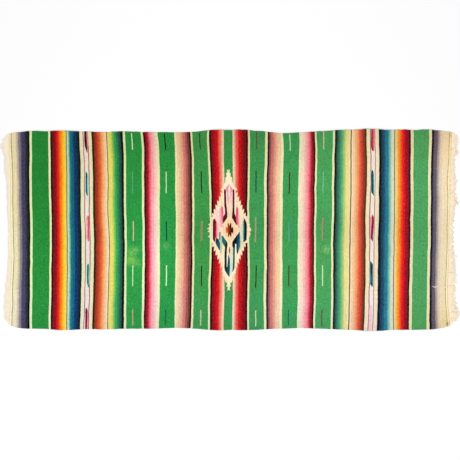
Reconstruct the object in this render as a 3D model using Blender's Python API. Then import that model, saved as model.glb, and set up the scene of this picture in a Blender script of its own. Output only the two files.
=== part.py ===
# Mexican serape: one loom-woven length of cloth, laid flat, with a short fringe of its own warp ends at both ends.
# The warp runs along X and the striped weft along Y. The cloth rests on the plane Z = 0, centred on the Z axis.
# Sizes and tables are in millimetres, and MM turns them into the model's metres.

import bmesh
import bpy
from collections import namedtuple
from math import cos, pi

for old in list(bpy.data.objects):
    bpy.data.objects.remove(old, do_unlink=True)

MM = 0.001

# Driving dimensions
CLOTH_WALL = 2.4
FRINGE_WALL = 2.0
SEAM_GAP = 0.3

# Facets of the walls
CELLS_ALONG = 60
CELLS_ACROSS = 26
FRINGE_CELLS = 3

# Share by which grid lines crowd towards the selvedges, where the cloth ripples
EDGE_CROWDING = 0.25

# The woven edges: the upper and lower selvedge at places along the cloth.
# Wide shaded bands are slack and bulge, and tight plain bands draw in.
Selvedge = namedtuple("Selvedge", "along upper lower")
SELVEDGES = [
    Selvedge(-1010, 441, -430),
    Selvedge(-994, 446, -441),
    Selvedge(-967, 447, -450),
    Selvedge(-911, 454, -451),
    Selvedge(-843, 451, -451),
    Selvedge(-774, 455, -459),
    Selvedge(-706, 451, -455),
    Selvedge(-637, 451, -452),
    Selvedge(-582, 447, -455),
    Selvedge(-500, 451, -451),
    Selvedge(-363, 447, -451),
    Selvedge(-240, 447, -447),
    Selvedge(-158, 449, -451),
    Selvedge(-62, 459, -459),
    Selvedge(0, 456, -456),
    Selvedge(62, 460, -459),
    Selvedge(130, 452, -455),
    Selvedge(254, 442, -450),
    Selvedge(322, 447, -447),
    Selvedge(404, 451, -451),
    Selvedge(528, 458, -455),
    Selvedge(651, 462, -462),
    Selvedge(733, 457, -457),
    Selvedge(788, 460, -456),
    Selvedge(848, 456, -456),
    Selvedge(898, 461, -455),
    Selvedge(953, 455, -452),
    Selvedge(990, 454, -445),
    Selvedge(1014, 447, -432),
]

# The ends: where the weaving stops at each height, how far the fringe reaches past it,
# and how far the fringe's tips lie above or below their roots.
End = namedtuple("End", "height weave reach lean")
LEFT_END = [
    End(-430, -1009, 26, 21),
    End(-395, -1007, 29, 5),
    End(-330, -1004, 31, 0),
    End(-260, -1005, 28, 0),
    End(-190, -1000, 21, 0),
    End(-90, -997, 20, 0),
    End(0, -1000, 18, 0),
    End(90, -1004, 18, 0),
    End(208, -1003, 21, 0),
    End(290, -1005, 31, 0),
    End(350, -1009, 30, 0),
    End(385, -1010, 41, -3),
    End(420, -1010, 41, -12),
    End(441, -1009, 26, -15),
]
RIGHT_END = [
    End(-432, 1007, 32, 22),
    End(-396, 1002, 47, 5),
    End(-370, 1000, 51, 0),
    End(-330, 995, 50, 0),
    End(-290, 994, 36, 0),
    End(-240, 994, 46, 0),
    End(-160, 998, 38, 0),
    End(-60, 1001, 22, 0),
    End(20, 1001, 19, 0),
    End(100, 1004, 26, 0),
    End(125, 1005, 42, 0),
    End(150, 1006, 23, 0),
    End(208, 1004, 36, 0),
    End(250, 1005, 31, 0),
    End(320, 1009, 22, 0),
    End(365, 1010, 36, 0),
    End(400, 1012, 39, -4),
    End(447, 1014, 25, -12),
]

# Low swells where the slack selvedge lifts off the surface
Swell = namedtuple("Swell", "along across height half_length half_width")
SWELLS = [
    Swell(-774, 457, 3.6, 95, 130),
    Swell(-582, -455, 2.6, 80, 95),
    Swell(-790, -458, 3.0, 85, 110),
    Swell(-420, 451, 2.2, 90, 90),
    Swell(-20, 458, 4.0, 110, 140),
    Swell(-62, -459, 3.4, 100, 120),
    Swell(250, -452, 2.4, 90, 90),
    Swell(440, 454, 2.8, 95, 110),
    Swell(655, 463, 4.2, 100, 140),
    Swell(640, -462, 3.8, 105, 130),
    Swell(870, 458, 2.6, 75, 95),
    Swell(830, -456, 2.2, 80, 85),
]


def at_place(table, place, column):
    # Value of a table's column at a place, eased between the two rows beside it
    place = min(max(place, table[0][0]), table[-1][0])
    low, high = next(pair for pair in zip(table, table[1:]) if place <= pair[1][0])
    share = (place - low[0]) / (high[0] - low[0])
    eased = share * share * (3 - 2 * share)
    start, end = getattr(low, column), getattr(high, column)
    return start + (end - start) * eased


def bell(offset, half_span):
    # One at the centre, easing to exactly zero at the half span
    share = abs(offset) / half_span
    return cos(pi / 2 * share) ** 2 if share < 1 else 0.0


def lift(x, y):
    # Height of the cloth's underside above the surface it lies on
    return sum(
        s.height * bell(x - s.along, s.half_length) * bell(y - s.across, s.half_width) for s in SWELLS
    )


def height_on_edge(table, across):
    # Height in the cloth at an end's edge, for a share across from -1 to 1
    return table[0].height + (table[-1].height - table[0].height) * (across + 1) / 2


def cloth_point(along, across):
    # Place in the flat cloth for shares along and across it, both from -1 to 1
    left = at_place(LEFT_END, height_on_edge(LEFT_END, across), "weave")
    right = at_place(RIGHT_END, height_on_edge(RIGHT_END, across), "weave")
    x = left + (right - left) * (along + 1) / 2
    lower = at_place(SELVEDGES, x, "lower")
    upper = at_place(SELVEDGES, x, "upper")
    y = lower + (upper - lower) * (across + 1) / 2
    return x, y


def crowded(share):
    # Moves grid lines towards the selvedges
    return share * (1 + EDGE_CROWDING - EDGE_CROWDING * share * share)


def cloth_colour(name, colour, roughness):
    material = bpy.data.materials.new(name)
    material.use_nodes = True
    shader = material.node_tree.nodes["Principled BSDF"]
    shader.inputs["Base Color"].default_value = (*colour, 1.0)
    shader.inputs["Roughness"].default_value = roughness
    shader.inputs["Metallic"].default_value = 0.0
    material.diffuse_color = (*colour, 1.0)
    return material


def add_wall(name, columns, rows, place, wall, material):
    # A grid of columns by rows set out by place(), made into a closed wall above it
    bm = bmesh.new()
    bmesh.ops.create_grid(bm, x_segments=columns, y_segments=rows, size=1)
    for vertex in bm.verts:
        vertex.co = place(vertex.co.x, vertex.co.y)
    bmesh.ops.recalc_face_normals(bm, faces=bm.faces)
    if sum(face.normal.z for face in bm.faces) < 0:
        bmesh.ops.reverse_faces(bm, faces=bm.faces)
    mesh = bpy.data.meshes.new(name)
    bm.to_mesh(mesh)
    bm.free()
    mesh.materials.append(material)
    piece = bpy.data.objects.new(name, mesh)
    bpy.context.scene.collection.objects.link(piece)
    solidify = piece.modifiers.new("wall", "SOLIDIFY")
    solidify.thickness = wall * MM
    solidify.offset = 1.0
    return piece


def add_woven_cloth(material):
    def place(along, across):
        x, y = cloth_point(along, crowded(across))
        return x * MM, y * MM, lift(x, y) * MM

    return add_wall("woven_cloth", CELLS_ALONG, CELLS_ACROSS, place, CLOTH_WALL, material)


def add_fringe(name, table, outwards, material):
    # A plain slab of the fringe's reach, one seam gap clear of the weave
    def place(out, across):
        share_out = (outwards * out + 1) / 2
        across = crowded(across)
        height = height_on_edge(table, across)
        root_x, root_y = cloth_point(outwards, across)
        reach = SEAM_GAP + (at_place(table, height, "reach") - SEAM_GAP) * share_out
        x = root_x + outwards * reach
        y = root_y + at_place(table, height, "lean") * share_out
        return x * MM, y * MM, 0.0

    return add_wall(name, FRINGE_CELLS, CELLS_ACROSS, place, FRINGE_WALL, material)


green_wool = cloth_colour("green_wool", (0.052, 0.275, 0.075), 0.9)
cream_cotton = cloth_colour("cream_cotton", (0.86, 0.74, 0.55), 0.92)

add_woven_cloth(green_wool)
add_fringe("fringe_left", LEFT_END, -1, cream_cotton)
add_fringe("fringe_right", RIGHT_END, 1, cream_cotton)
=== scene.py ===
# The looks of a Mexican serape, laid flat and seen from straight above.
# Tables and sizes are in millimetres, and MM turns them into the frame's metres.
# "Along" runs with the warp from the left end to the right one,
# and "across" from the lower selvedge to the upper one.

from collections import namedtuple

import bmesh
import bpy
import numpy as np
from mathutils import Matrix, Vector
from mathutils.bvhtree import BVHTree


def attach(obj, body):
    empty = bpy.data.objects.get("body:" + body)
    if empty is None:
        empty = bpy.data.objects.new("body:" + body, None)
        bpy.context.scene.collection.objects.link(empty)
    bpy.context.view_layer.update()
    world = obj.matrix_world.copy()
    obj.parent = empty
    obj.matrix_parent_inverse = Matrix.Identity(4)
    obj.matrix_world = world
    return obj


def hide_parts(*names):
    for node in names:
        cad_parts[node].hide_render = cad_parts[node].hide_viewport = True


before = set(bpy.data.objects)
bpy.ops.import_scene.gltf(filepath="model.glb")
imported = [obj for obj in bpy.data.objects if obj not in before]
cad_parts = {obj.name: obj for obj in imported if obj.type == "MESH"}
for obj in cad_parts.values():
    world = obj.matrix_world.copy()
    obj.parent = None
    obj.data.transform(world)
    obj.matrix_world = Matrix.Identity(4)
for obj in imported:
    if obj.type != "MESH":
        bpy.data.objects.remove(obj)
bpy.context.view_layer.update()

MM = 0.001

# Cloth: its wall up to the usual top of a rib, its ribs over the warp, and its picks of weft
THICKNESS = 2.0
RIB_PITCH = 4.5
RIB_COUNT = 201
RIB_HEIGHT = 0.45
PICK_PITCH = 1.1
HALF_CLOTH = RIB_COUNT * RIB_PITCH / 2

# Stripes from the middle of the cloth outwards. The two halves mirror each other in their order, and each
# stripe has its own width and shade on the left half and on the right one. A width of 0 leaves it out.
MIDDLE = -7.5
Stripe = namedtuple("Stripe", "yarn left_width right_width left_shade right_shade")
STRIPES = [Stripe._make(row) for row in [
    ("green", 19.6, 19.9, (60, 144, 73), (62, 146, 74)),
    ("cream", 4.9, 6.0, (240, 213, 170), (243, 214, 176)),
    ("peach", 4.6, 4.6, (243, 191, 159), (234, 185, 150)),
    ("salmon", 4.6, 4.6, (229, 156, 124), (225, 139, 112)),
    ("light coral", 4.6, 0.0, (230, 127, 101), (230, 127, 101)),
    ("coral", 4.6, 9.1, (233, 89, 74), (234, 88, 78)),
    ("scarlet", 4.6, 4.6, (215, 46, 39), (211, 37, 33)),
    ("red", 9.1, 9.1, (200, 22, 28), (195, 24, 27)),
    ("crimson", 9.1, 9.1, (168, 13, 28), (163, 15, 25)),
    ("maroon", 9.1, 13.7, (131, 22, 29), (125, 18, 28)),
    ("dark brown", 8.4, 8.2, (36, 8, 0), (40, 10, 4)),
    ("cream", 8.1, 8.6, (234, 230, 174), (234, 228, 178)),
    ("green", 67.4, 69.3, (62, 148, 73), (64, 151, 82)),
    ("cream", 8.3, 11.0, (234, 230, 174), (236, 230, 180)),
    ("dark brown", 8.4, 7.9, (46, 18, 6), (38, 14, 6)),
    ("dusk brown", 9.1, 4.6, (115, 65, 55), (128, 76, 78)),
    ("dusty plum", 9.1, 4.6, (171, 88, 84), (160, 90, 89)),
    ("dusty rose", 9.1, 9.1, (207, 120, 108), (199, 117, 109)),
    ("rose tan", 4.6, 4.6, (215, 139, 116), (212, 130, 114)),
    ("apricot rose", 9.1, 9.1, (230, 167, 133), (229, 156, 132)),
    ("apricot", 9.1, 9.1, (237, 190, 147), (245, 187, 152)),
    ("buff", 9.1, 13.7, (240, 206, 158), (238, 211, 163)),
    ("cream", 7.6, 11.4, (240, 230, 176), (244, 236, 188)),
    ("green", 71.9, 69.7, (44, 146, 66), (64, 156, 84)),
    ("cream", 9.6, 10.3, (234, 232, 180), (236, 236, 196)),
    ("pale peach", 6.9, 13.7, (245, 214, 182), (251, 219, 191)),
    ("pale pink", 9.1, 9.1, (252, 194, 183), (249, 190, 179)),
    ("pink", 9.1, 9.1, (245, 166, 165), (243, 162, 158)),
    ("rose pink", 4.6, 4.6, (245, 145, 149), (250, 134, 144)),
    ("hot pink", 4.6, 4.6, (233, 111, 123), (245, 106, 124)),
    ("deep rose", 4.6, 4.6, (230, 81, 100), (215, 68, 88)),
    ("cherry", 4.6, 3.0, (190, 35, 56), (186, 45, 62)),
    ("wine", 4.6, 6.1, (161, 22, 39), (158, 28, 42)),
    ("maroon", 4.6, 4.6, (130, 23, 33), (115, 36, 28)),
    ("dark brown", 8.3, 5.9, (54, 14, 6), (46, 18, 8)),
    ("cream", 9.6, 8.0, (230, 232, 176), (236, 236, 188)),
    ("green", 74.2, 70.3, (44, 145, 64), (76, 163, 90)),
    ("cream", 9.6, 9.6, (226, 232, 174), (236, 234, 188)),
    ("black green", 10.5, 7.1, (6, 26, 6), (8, 28, 6)),
    ("slate green", 6.9, 4.6, (40, 80, 65), (38, 70, 60)),
    ("bottle green", 4.6, 4.6, (39, 95, 68), (51, 97, 87)),
    ("dark jade", 4.6, 4.6, (44, 120, 79), (57, 118, 95)),
    ("jade", 4.6, 4.6, (40, 133, 79), (65, 138, 101)),
    ("emerald", 9.1, 6.9, (57, 154, 83), (74, 156, 106)),
    ("spring green", 4.6, 6.9, (99, 178, 86), (104, 180, 116)),
    ("lime", 4.6, 4.6, (139, 189, 78), (147, 200, 125)),
    ("yellow green", 4.6, 4.6, (186, 208, 87), (175, 201, 121)),
    ("citron", 4.6, 4.6, (217, 214, 92), (212, 219, 134)),
    ("gold", 12.8, 13.7, (233, 213, 108), (240, 222, 142)),
    ("straw", 0.0, 6.6, (238, 220, 140), (246, 226, 171)),
    ("umber line", 3.7, 4.6, (72, 58, 32), (84, 70, 42)),
    ("buff", 6.4, 7.1, (240, 213, 174), (251, 222, 183)),
    ("pale apricot", 4.6, 9.1, (240, 200, 148), (247, 205, 160)),
    ("apricot", 4.6, 9.1, (244, 187, 129), (245, 183, 130)),
    ("light orange", 4.6, 4.6, (246, 170, 111), (242, 159, 106)),
    ("melon", 4.6, 4.6, (245, 154, 95), (245, 146, 98)),
    ("orange", 4.6, 4.6, (235, 135, 77), (231, 117, 76)),
    ("burnt orange", 4.6, 4.6, (217, 105, 54), (225, 95, 66)),
    ("vermilion", 4.6, 4.6, (213, 89, 48), (215, 81, 60)),
    ("rust", 4.6, 4.6, (198, 70, 39), (197, 66, 51)),
    ("dark rust", 4.6, 4.6, (182, 60, 35), (175, 60, 44)),
    ("brick", 9.1, 4.6, (150, 52, 35), (145, 59, 38)),
    ("brown", 4.6, 4.6, (91, 37, 13), (112, 55, 26)),
    ("bark", 6.4, 5.0, (38, 24, 0), (70, 46, 12)),
    ("pale lime", 4.6, 4.6, (228, 228, 166), (236, 230, 184)),
    ("cream", 10.7, 11.4, (242, 217, 182), (248, 224, 194)),
    ("umber line", 3.9, 3.7, (84, 76, 48), (96, 92, 62)),
    ("shell pink", 17.4, 16.5, (240, 214, 203), (249, 226, 213)),
    ("umber line", 3.4, 2.9, (84, 82, 46), (100, 100, 66)),
    ("cream", 11.4, 12.3, (240, 216, 188), (246, 221, 198)),
    ("pale lime", 4.6, 4.0, (218, 228, 164), (230, 228, 186)),
    ("black", 6.4, 8.4, (12, 24, 18), (2, 18, 16)),
    ("ink blue", 9.1, 4.6, (21, 40, 58), (23, 52, 64)),
    ("navy", 13.7, 9.1, (18, 55, 90), (36, 70, 98)),
    ("teal blue", 9.1, 6.9, (19, 92, 119), (30, 92, 118)),
    ("teal", 9.1, 11.4, (28, 107, 124), (45, 121, 141)),
    ("sea teal", 0.0, 4.6, (60, 130, 132), (73, 149, 149)),
    ("sea green", 4.6, 4.6, (100, 161, 138), (114, 178, 165)),
    ("pale sea", 0.0, 4.6, (140, 190, 160), (156, 199, 176)),
    ("aqua", 9.4, 4.6, (180, 212, 180), (197, 220, 192)),
    ("pale aqua", 0.0, 9.6, (205, 216, 182), (221, 220, 190)),
    ("umber line", 3.2, 3.4, (76, 64, 32), (84, 72, 40)),
    ("yellow", 5.7, 5.3, (240, 205, 88), (241, 210, 150)),
    ("sun yellow", 4.6, 4.6, (248, 201, 58), (249, 202, 123)),
    ("golden yellow", 4.6, 4.6, (252, 189, 47), (246, 181, 87)),
    ("amber", 4.6, 4.6, (251, 170, 35), (243, 157, 56)),
    ("bright orange", 4.6, 4.6, (243, 142, 23), (249, 137, 44)),
    ("deep orange", 4.6, 4.6, (243, 116, 24), (252, 110, 39)),
    ("orange red", 4.6, 4.6, (241, 82, 31), (244, 76, 34)),
    ("poppy", 4.6, 4.6, (222, 44, 25), (235, 45, 40)),
    ("scarlet", 4.6, 4.6, (213, 34, 25), (220, 29, 41)),
    ("red", 4.6, 4.6, (184, 17, 24), (205, 29, 43)),
    ("crimson", 4.6, 9.1, (142, 12, 19), (168, 15, 38)),
    ("maroon", 9.1, 4.6, (125, 20, 31), (140, 22, 45)),
    ("oxblood", 4.6, 4.6, (90, 17, 16), (115, 34, 37)),
    ("dark brown", 6.0, 6.2, (16, 6, 0), (36, 10, 2)),
    ("cream", 8.6, 13.1, (234, 232, 180), (234, 228, 180)),
    ("green", 76.7, 69.7, (38, 132, 53), (82, 164, 97)),
    ("cream", 10.4, 12.9, (226, 232, 178), (240, 232, 190)),
    ("black green", 8.0, 7.8, (4, 16, 0), (14, 12, 16)),
    ("ink green", 9.1, 0.0, (32, 48, 42), (41, 40, 48)),
    ("ink violet", 4.6, 0.0, (52, 53, 74), (60, 54, 74)),
    ("violet", 13.7, 4.6, (72, 59, 92), (78, 73, 94)),
    ("grey violet", 4.6, 13.7, (92, 82, 102), (103, 93, 107)),
    ("grey", 9.1, 4.6, (130, 124, 126), (160, 147, 147)),
    ("ash", 4.6, 4.6, (180, 169, 151), (179, 164, 156)),
    ("ecru", 4.6, 4.6, (199, 182, 154), (211, 194, 176)),
    ("sand", 4.6, 9.1, (229, 208, 174), (229, 213, 187)),
    ("buff cream", 15.1, 27.4, (236, 219, 174), (245, 225, 187)),
    ("olive line", 2.8, 2.9, (112, 98, 44), (170, 156, 96)),
    ("end cream", 18.0, 18.0, (252, 240, 196), (255, 240, 196)),
]]

# Places in plain stripes where one material of the cloth hands over to the next
SPLITS = [-866, -676, -551, -425, -274, -114, 137, 290, 443, 635, 674, 873]

# How far the beaten-in wefts stray along the cloth at places along it, for seven heights across it
LAY_HEIGHTS = (-430, -229, -46, 136, 318, 395, 443)
STRAYS = {
    -998: (-2.3, 1.3, 6.6, 3.7, -0.5, 0.7, -1.3),
    -909: (1.5, 2.3, 3.4, 0.9, 0.9, 1.2, -1.3),
    -824: (0.6, 4.0, 6.0, 3.6, -0.6, -0.7, -0.9),
    -748: (1.9, 3.3, 3.4, 1.9, 0.4, -0.4, -0.1),
    -676: (-0.1, 5.8, 6.2, 2.5, 1.4, -4.7, -5.2),
    -620: (-1.4, 5.0, 6.8, 1.4, 1.1, -3.7, -5.9),
    -558: (-1.2, 4.1, 7.6, 1.0, 0.9, -3.4, -6.4),
    -480: (0.3, 2.5, 4.3, 0.4, 0.2, -1.6, -5.2),
    -398: (-2.0, 1.2, 2.1, -0.4, -0.5, -2.4, -6.4),
    -329: (-1.9, 0.7, 1.8, -0.9, 0.2, -3.4, -10.8),
    -251: (-3.7, -0.4, 2.1, 0.4, -0.7, -2.1, -4.2),
    -170: (-5.1, 1.6, 3.0, 3.1, -0.4, -3.4, -6.8),
    -97: (-1.7, 1.4, 7.9, 5.1, -1.9, -4.7, -4.6),
    -14: (-1.8, 1.6, 4.8, 2.7, 0.7, -1.4, -2.0),
    87: (-4.5, -1.0, -2.5, -3.1, -1.1, -0.4, -0.5),
    165: (-5.1, -5.7, -3.5, -3.2, -0.5, 1.6, 1.4),
    247: (-7.1, -4.9, -5.9, -3.3, -1.4, 1.5, -3.6),
    324: (-7.2, -5.4, -4.4, -1.7, 0.7, 4.6, 4.7),
    395: (-8.2, -4.5, -5.3, -3.2, -0.7, 0.1, -3.7),
    472: (-6.8, -6.1, -5.5, -1.8, -0.2, 1.8, 3.1),
    551: (-10.5, -7.1, -6.1, -1.4, 0.2, -1.1, 0.5),
    619: (-14.7, -7.6, -7.0, -5.8, -0.2, -4.1, -5.1),
    690: (-12.3, -5.8, -5.4, -2.2, -1.6, -2.6, -4.2),
    752: (-5.5, -5.1, -3.0, 0.0, -1.4, 0.5, -0.9),
    832: (-8.9, -5.8, -2.0, -0.1, -1.3, 0.9, -1.2),
    913: (-10.9, -8.6, -4.9, -2.6, -2.8, 2.7, 3.0),
    997: (-1.8, -11.2, -5.0, -2.3, -0.5, 2.4, 5.9),
}

# The outermost picks, and how far in from an end the wefts turn straight
FIRST_PICK = -1006.5
LAST_PICK = 1009.0
END_BLEND = 80.0

# Soft cockles of the cloth: low ridges that mostly follow the weft and fade away from the selvedges
Cockle = namedtuple("Cockle", "along across height half_along half_across slant")
COCKLES = [Cockle._make(row) for row in [
    (-930, 420, 1.3, 34, 120, 0.05),
    (-868, 445, 0.9, 26, 90, -0.08),
    (-715, 430, 1.5, 38, 150, 0.06),
    (-640, 450, 1.0, 30, 80, 0.0),
    (-520, 440, 1.2, 34, 110, -0.05),
    (-345, 452, 0.8, 36, 85, 0.04),
    (-232, 440, 1.1, 30, 120, 0.08),
    (-110, 445, 1.3, 32, 100, -0.06),
    (85, 450, 1.2, 30, 95, 0.05),
    (176, 430, 0.9, 40, 140, 0.0),
    (305, 448, 1.3, 34, 105, -0.07),
    (532, 455, 1.6, 38, 120, 0.05),
    (592, 440, 1.1, 24, 90, 0.1),
    (742, 450, 1.4, 30, 130, -0.04),
    (806, 455, 1.0, 26, 80, 0.06),
    (948, 430, 1.2, 32, 110, 0.0),
    (-905, -435, 1.1, 32, 100, -0.06),
    (-700, -450, 1.4, 36, 120, 0.05),
    (-655, -430, 0.8, 24, 75, 0.0),
    (-470, -448, 1.2, 36, 130, 0.07),
    (-330, -440, 0.9, 34, 90, -0.05),
    (-205, -452, 1.3, 30, 110, 0.04),
    (48, -450, 1.1, 28, 95, -0.06),
    (140, -446, 1.4, 34, 125, 0.06),
    (372, -440, 1.0, 38, 100, 0.0),
    (500, -452, 1.4, 34, 130, -0.06),
    (560, -440, 0.9, 26, 80, 0.05),
    (728, -455, 1.5, 34, 120, 0.08),
    (905, -440, 1.2, 36, 100, -0.05),
    (-560, 60, 0.7, 46, 160, 0.1),
    (-290, -90, 0.6, 50, 190, -0.08),
    (-80, 190, 0.8, 30, 120, 0.05),
    (78, -170, 0.8, 30, 130, -0.04),
    (420, 70, 0.7, 52, 180, 0.06),
    (655, -60, 0.8, 40, 170, -0.1),
    (880, 120, 0.6, 44, 150, 0.05),
    (-850, -60, 0.6, 48, 170, 0.0),
]]

# Short woven dashes in the plain green and pink stripes: one column for each place along the cloth.
# A mark is its upper end and its lower end across the cloth, and its shade.
Column = namedtuple("Column", "along width marks")
COLUMNS = [
    Column(-445.0, 4.6, [
        (442, 366, (214, 236, 176)),
        (266, 172, (90, 164, 118)),
        (42, -50, (222, 186, 146)),
        (-165, -258, (190, 226, 166)),
        (-365, -440, (206, 150, 128)),
    ]),
    Column(-291.6, 4.6, [
        (442, 368, (2, 8, 6)),
        (266, 172, (206, 228, 180)),
        (42, -50, (2, 46, 52)),
        (-165, -258, (214, 255, 192)),
        (-365, -440, (4, 96, 66)),
    ]),
    Column(-132.0, 4.6, [
        (442, 368, (66, 24, 24)),
        (266, 172, (0, 16, 22)),
        (-165, -258, (0, 2, 0)),
        (-365, -440, (206, 196, 172)),
    ]),
    Column(-134.5, 8.8, [
        (42, -50, (142, 138, 96)),
    ]),
    Column(121.5, 4.6, [
        (446, 366, (112, 60, 62)),
        (266, 172, (10, 48, 66)),
        (-160, -262, (0, 4, 14)),
        (-365, -440, (204, 226, 168)),
    ]),
    Column(120.3, 7.4, [
        (54, -56, (156, 160, 122)),
    ]),
    Column(274.3, 4.9, [
        (442, 366, (172, 224, 170)),
        (266, 172, (62, 4, 6)),
        (42, -50, (92, 168, 150)),
        (-165, -258, (72, 28, 18)),
        (-365, -440, (8, 104, 90)),
    ]),
    Column(428.2, 4.6, [
        (446, 366, (224, 196, 168)),
        (266, 172, (114, 180, 148)),
        (50, -50, (198, 136, 114)),
        (-165, -258, (202, 236, 184)),
        (-365, -444, (96, 52, 50)),
    ]),
]

# Shapes are rows of (up, left, right) from their own centre, from the top down.
# A shape's colour can change to a lower one, reached at the height low_at or else at its last row.
Shape = namedtuple("Shape", "name shade rows low_shade low_at", defaults=[None, None])

# Lozenges on the pink stripe near each end, shaded from side to side
Strip = namedtuple("Strip", "along shapes")
STRIPS = [
    Strip(-653.5, [
        Shape("top maroon", (94, 2, 28), [
            (470, -13.3, -3.2), (407, -13.3, -0.9), (384, -11, 0.5), (366, -5, 1.8), (353, 0.5, 2.3)]),
        Shape("top maroon's dusty side", (200, 152, 146), [
            (470, -3.2, 5), (407, -0.9, 5.9), (388, 0, 5.4), (372, 1.4, 2.7)]),
        Shape("upper teal halo", (186, 228, 212), [
            (270, -5.5, 0), (254, -7.3, 6.4), (174, -7.3, 6.8), (160, -2, 6), (150, 1.4, 4.6)]),
        Shape("upper teal", (10, 70, 80), [
            (266, -4.6, -1.8), (254, -5.9, 2.3), (174, -5.9, 2.7), (164.5, -3.2, 3.2), (155.4, 1.4, 3.2)]),
        Shape("upper teal's light side", (52, 144, 152), [
            (238, 0.5, 2.3), (200, -0.9, 2.7), (169, -0.5, 2.7)]),
        Shape("middle salmon", (250, 152, 142), [
            (64, -0.5, 4.6), (55, -3.2, 4.6), (-41, -2.7, 4.1), (-50, 0.9, 4.6)]),
        Shape("middle rose", (206, 70, 96), [
            (67, 2.3, 5), (57, 3.7, 12.3), (27, 4.6, 12.8), (-5, 4.1, 10.5), (-37, 4.1, 9.6),
            (-54.8, 6.9, 9.6)]),
        Shape("middle rose's dusty side", (202, 152, 150), [
            (27, 12.8, 15.5), (-5, 10.5, 14.6), (-37, 9.6, 13.7), (-50, 9.6, 11.4)]),
        Shape("lower teal halo", (194, 230, 208), [
            (-150, 0, 7), (-164.5, -4.1, 11), (-205.6, -4.6, 12.5), (-242, -3.7, 12), (-264, 2, 9)]),
        Shape("lower teal", (22, 92, 98), [
            (-154.5, 2.7, 7.3), (-164.5, 0, 9.1), (-205.6, -0.5, 8.2), (-242, 0.9, 9.1), (-260.5, 5.5, 9.1)]),
        Shape("lower teal's green side", (42, 126, 90), [(-160, 5, 9.1), (-185, 4.6, 9.6), (-215, 5, 8.7)]),
        Shape("foot maroon", (134, 10, 46), [
            (-354.6, -5, -1.8), (-367.9, -7.8, 4.1), (-411, -7.8, 2.7), (-470, -7.8, -0.5)]),
        Shape("foot maroon's pink side", (234, 142, 158), [
            (-372, 2.7, 6.4), (-411, 1.8, 6.4), (-470, -0.5, 5)]),
    ]),
    Strip(649.9, [
        Shape("top rose", (228, 66, 92), [
            (470, -5.5, 6.4), (395, -5.5, 6.9), (375, -4, 7.3), (366, -2.3, 7.3), (360, 3, 7.8)]),
        Shape("top rose's dark side", (140, 20, 46), [
            (470, -5.5, 0), (384, -5.5, 0.5), (366, -2.3, 4.1), (361, 2.7, 5.9)]),
        Shape("top rose's pink side", (252, 150, 160), [
            (470, 6.4, 10), (395, 6.9, 10.5), (370, 7.3, 10), (356, 7.8, 9.1)]),
        Shape("upper teal halo", (232, 244, 228), [
            (283, -2, 2), (260, -7, 10.5), (175, -7, 11), (160, 0, 10.6), (150, 7, 10)]),
        Shape("upper teal", (10, 54, 66), [
            (277, -1.4, 1.4), (258, -5.5, 7.8), (175, -5.5, 8.2), (157, 6.4, 8.7)]),
        Shape("upper teal's light side", (46, 126, 144), [
            (262, 1.5, 5.5), (250, 2.3, 8.2), (175, 2.7, 8.2), (160, 6.9, 8.7)]),
        Shape("middle pink", (249, 152, 166), [
            (60, -8.7, -1.4), (40, -8.7, -1.4), (5, -9.4, -4.1), (-30, -9.6, -5.5), (-42, -9.1, -5.5)]),
        Shape("middle maroon", (176, 28, 60), [
            (71, -1.8, 0.5), (59.4, -1.8, 7.8), (40, -1.4, 8.2), (5, -4.1, 6.4), (-30, -5.9, 3.7),
            (-42, -5.5, 3.7), (-51.6, 2.3, 3.7)], (114, 16, 54)),
        Shape("lower teal halo", (196, 220, 202), [
            (-138, -11, -8), (-156, -12, 5.8), (-245, -12, 5.5), (-264, -2, 4)]),
        Shape("lower teal", (14, 64, 66), [
            (-142.6, -9.6, -6.9), (-157.7, -9.6, 3.7), (-245.4, -9.6, 3.2), (-259, 0, 3.2)]),
        Shape("lower teal's blue side", (44, 112, 142), [
            (-195, -8.7, -4), (-215, -9.3, -1.5), (-245.4, -9, -2)]),
        Shape("foot pink", (255, 230, 224), [(-300, -10, -1), (-340, -11, -1.5), (-360, -13, -2)]),
        Shape("foot rose", (250, 200, 196), [(-345, -12, -1), (-372, -15.5, -2.3), (-470, -17.8, -3.7)]),
    ]),
]

# The serrated diamond: its middle along the cloth, then its border. The border's half width is at the waist,
# and it narrows by the rise for each millimetre up. It is cut off at the waist's reach and the tip's height.
DIAMOND_ALONG = -4.6
SERRATION_WIDTH = 98.6
SERRATION_RISE = 0.41
SERRATION_LEAN = 1.3
TOOTH_PITCH = 18.7
TOOTH_DEPTH = 12.0
TOOTH_ROOT = 1.5
WAIST_REACH = 87.0
TIP_HEIGHT = 214.0

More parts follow.
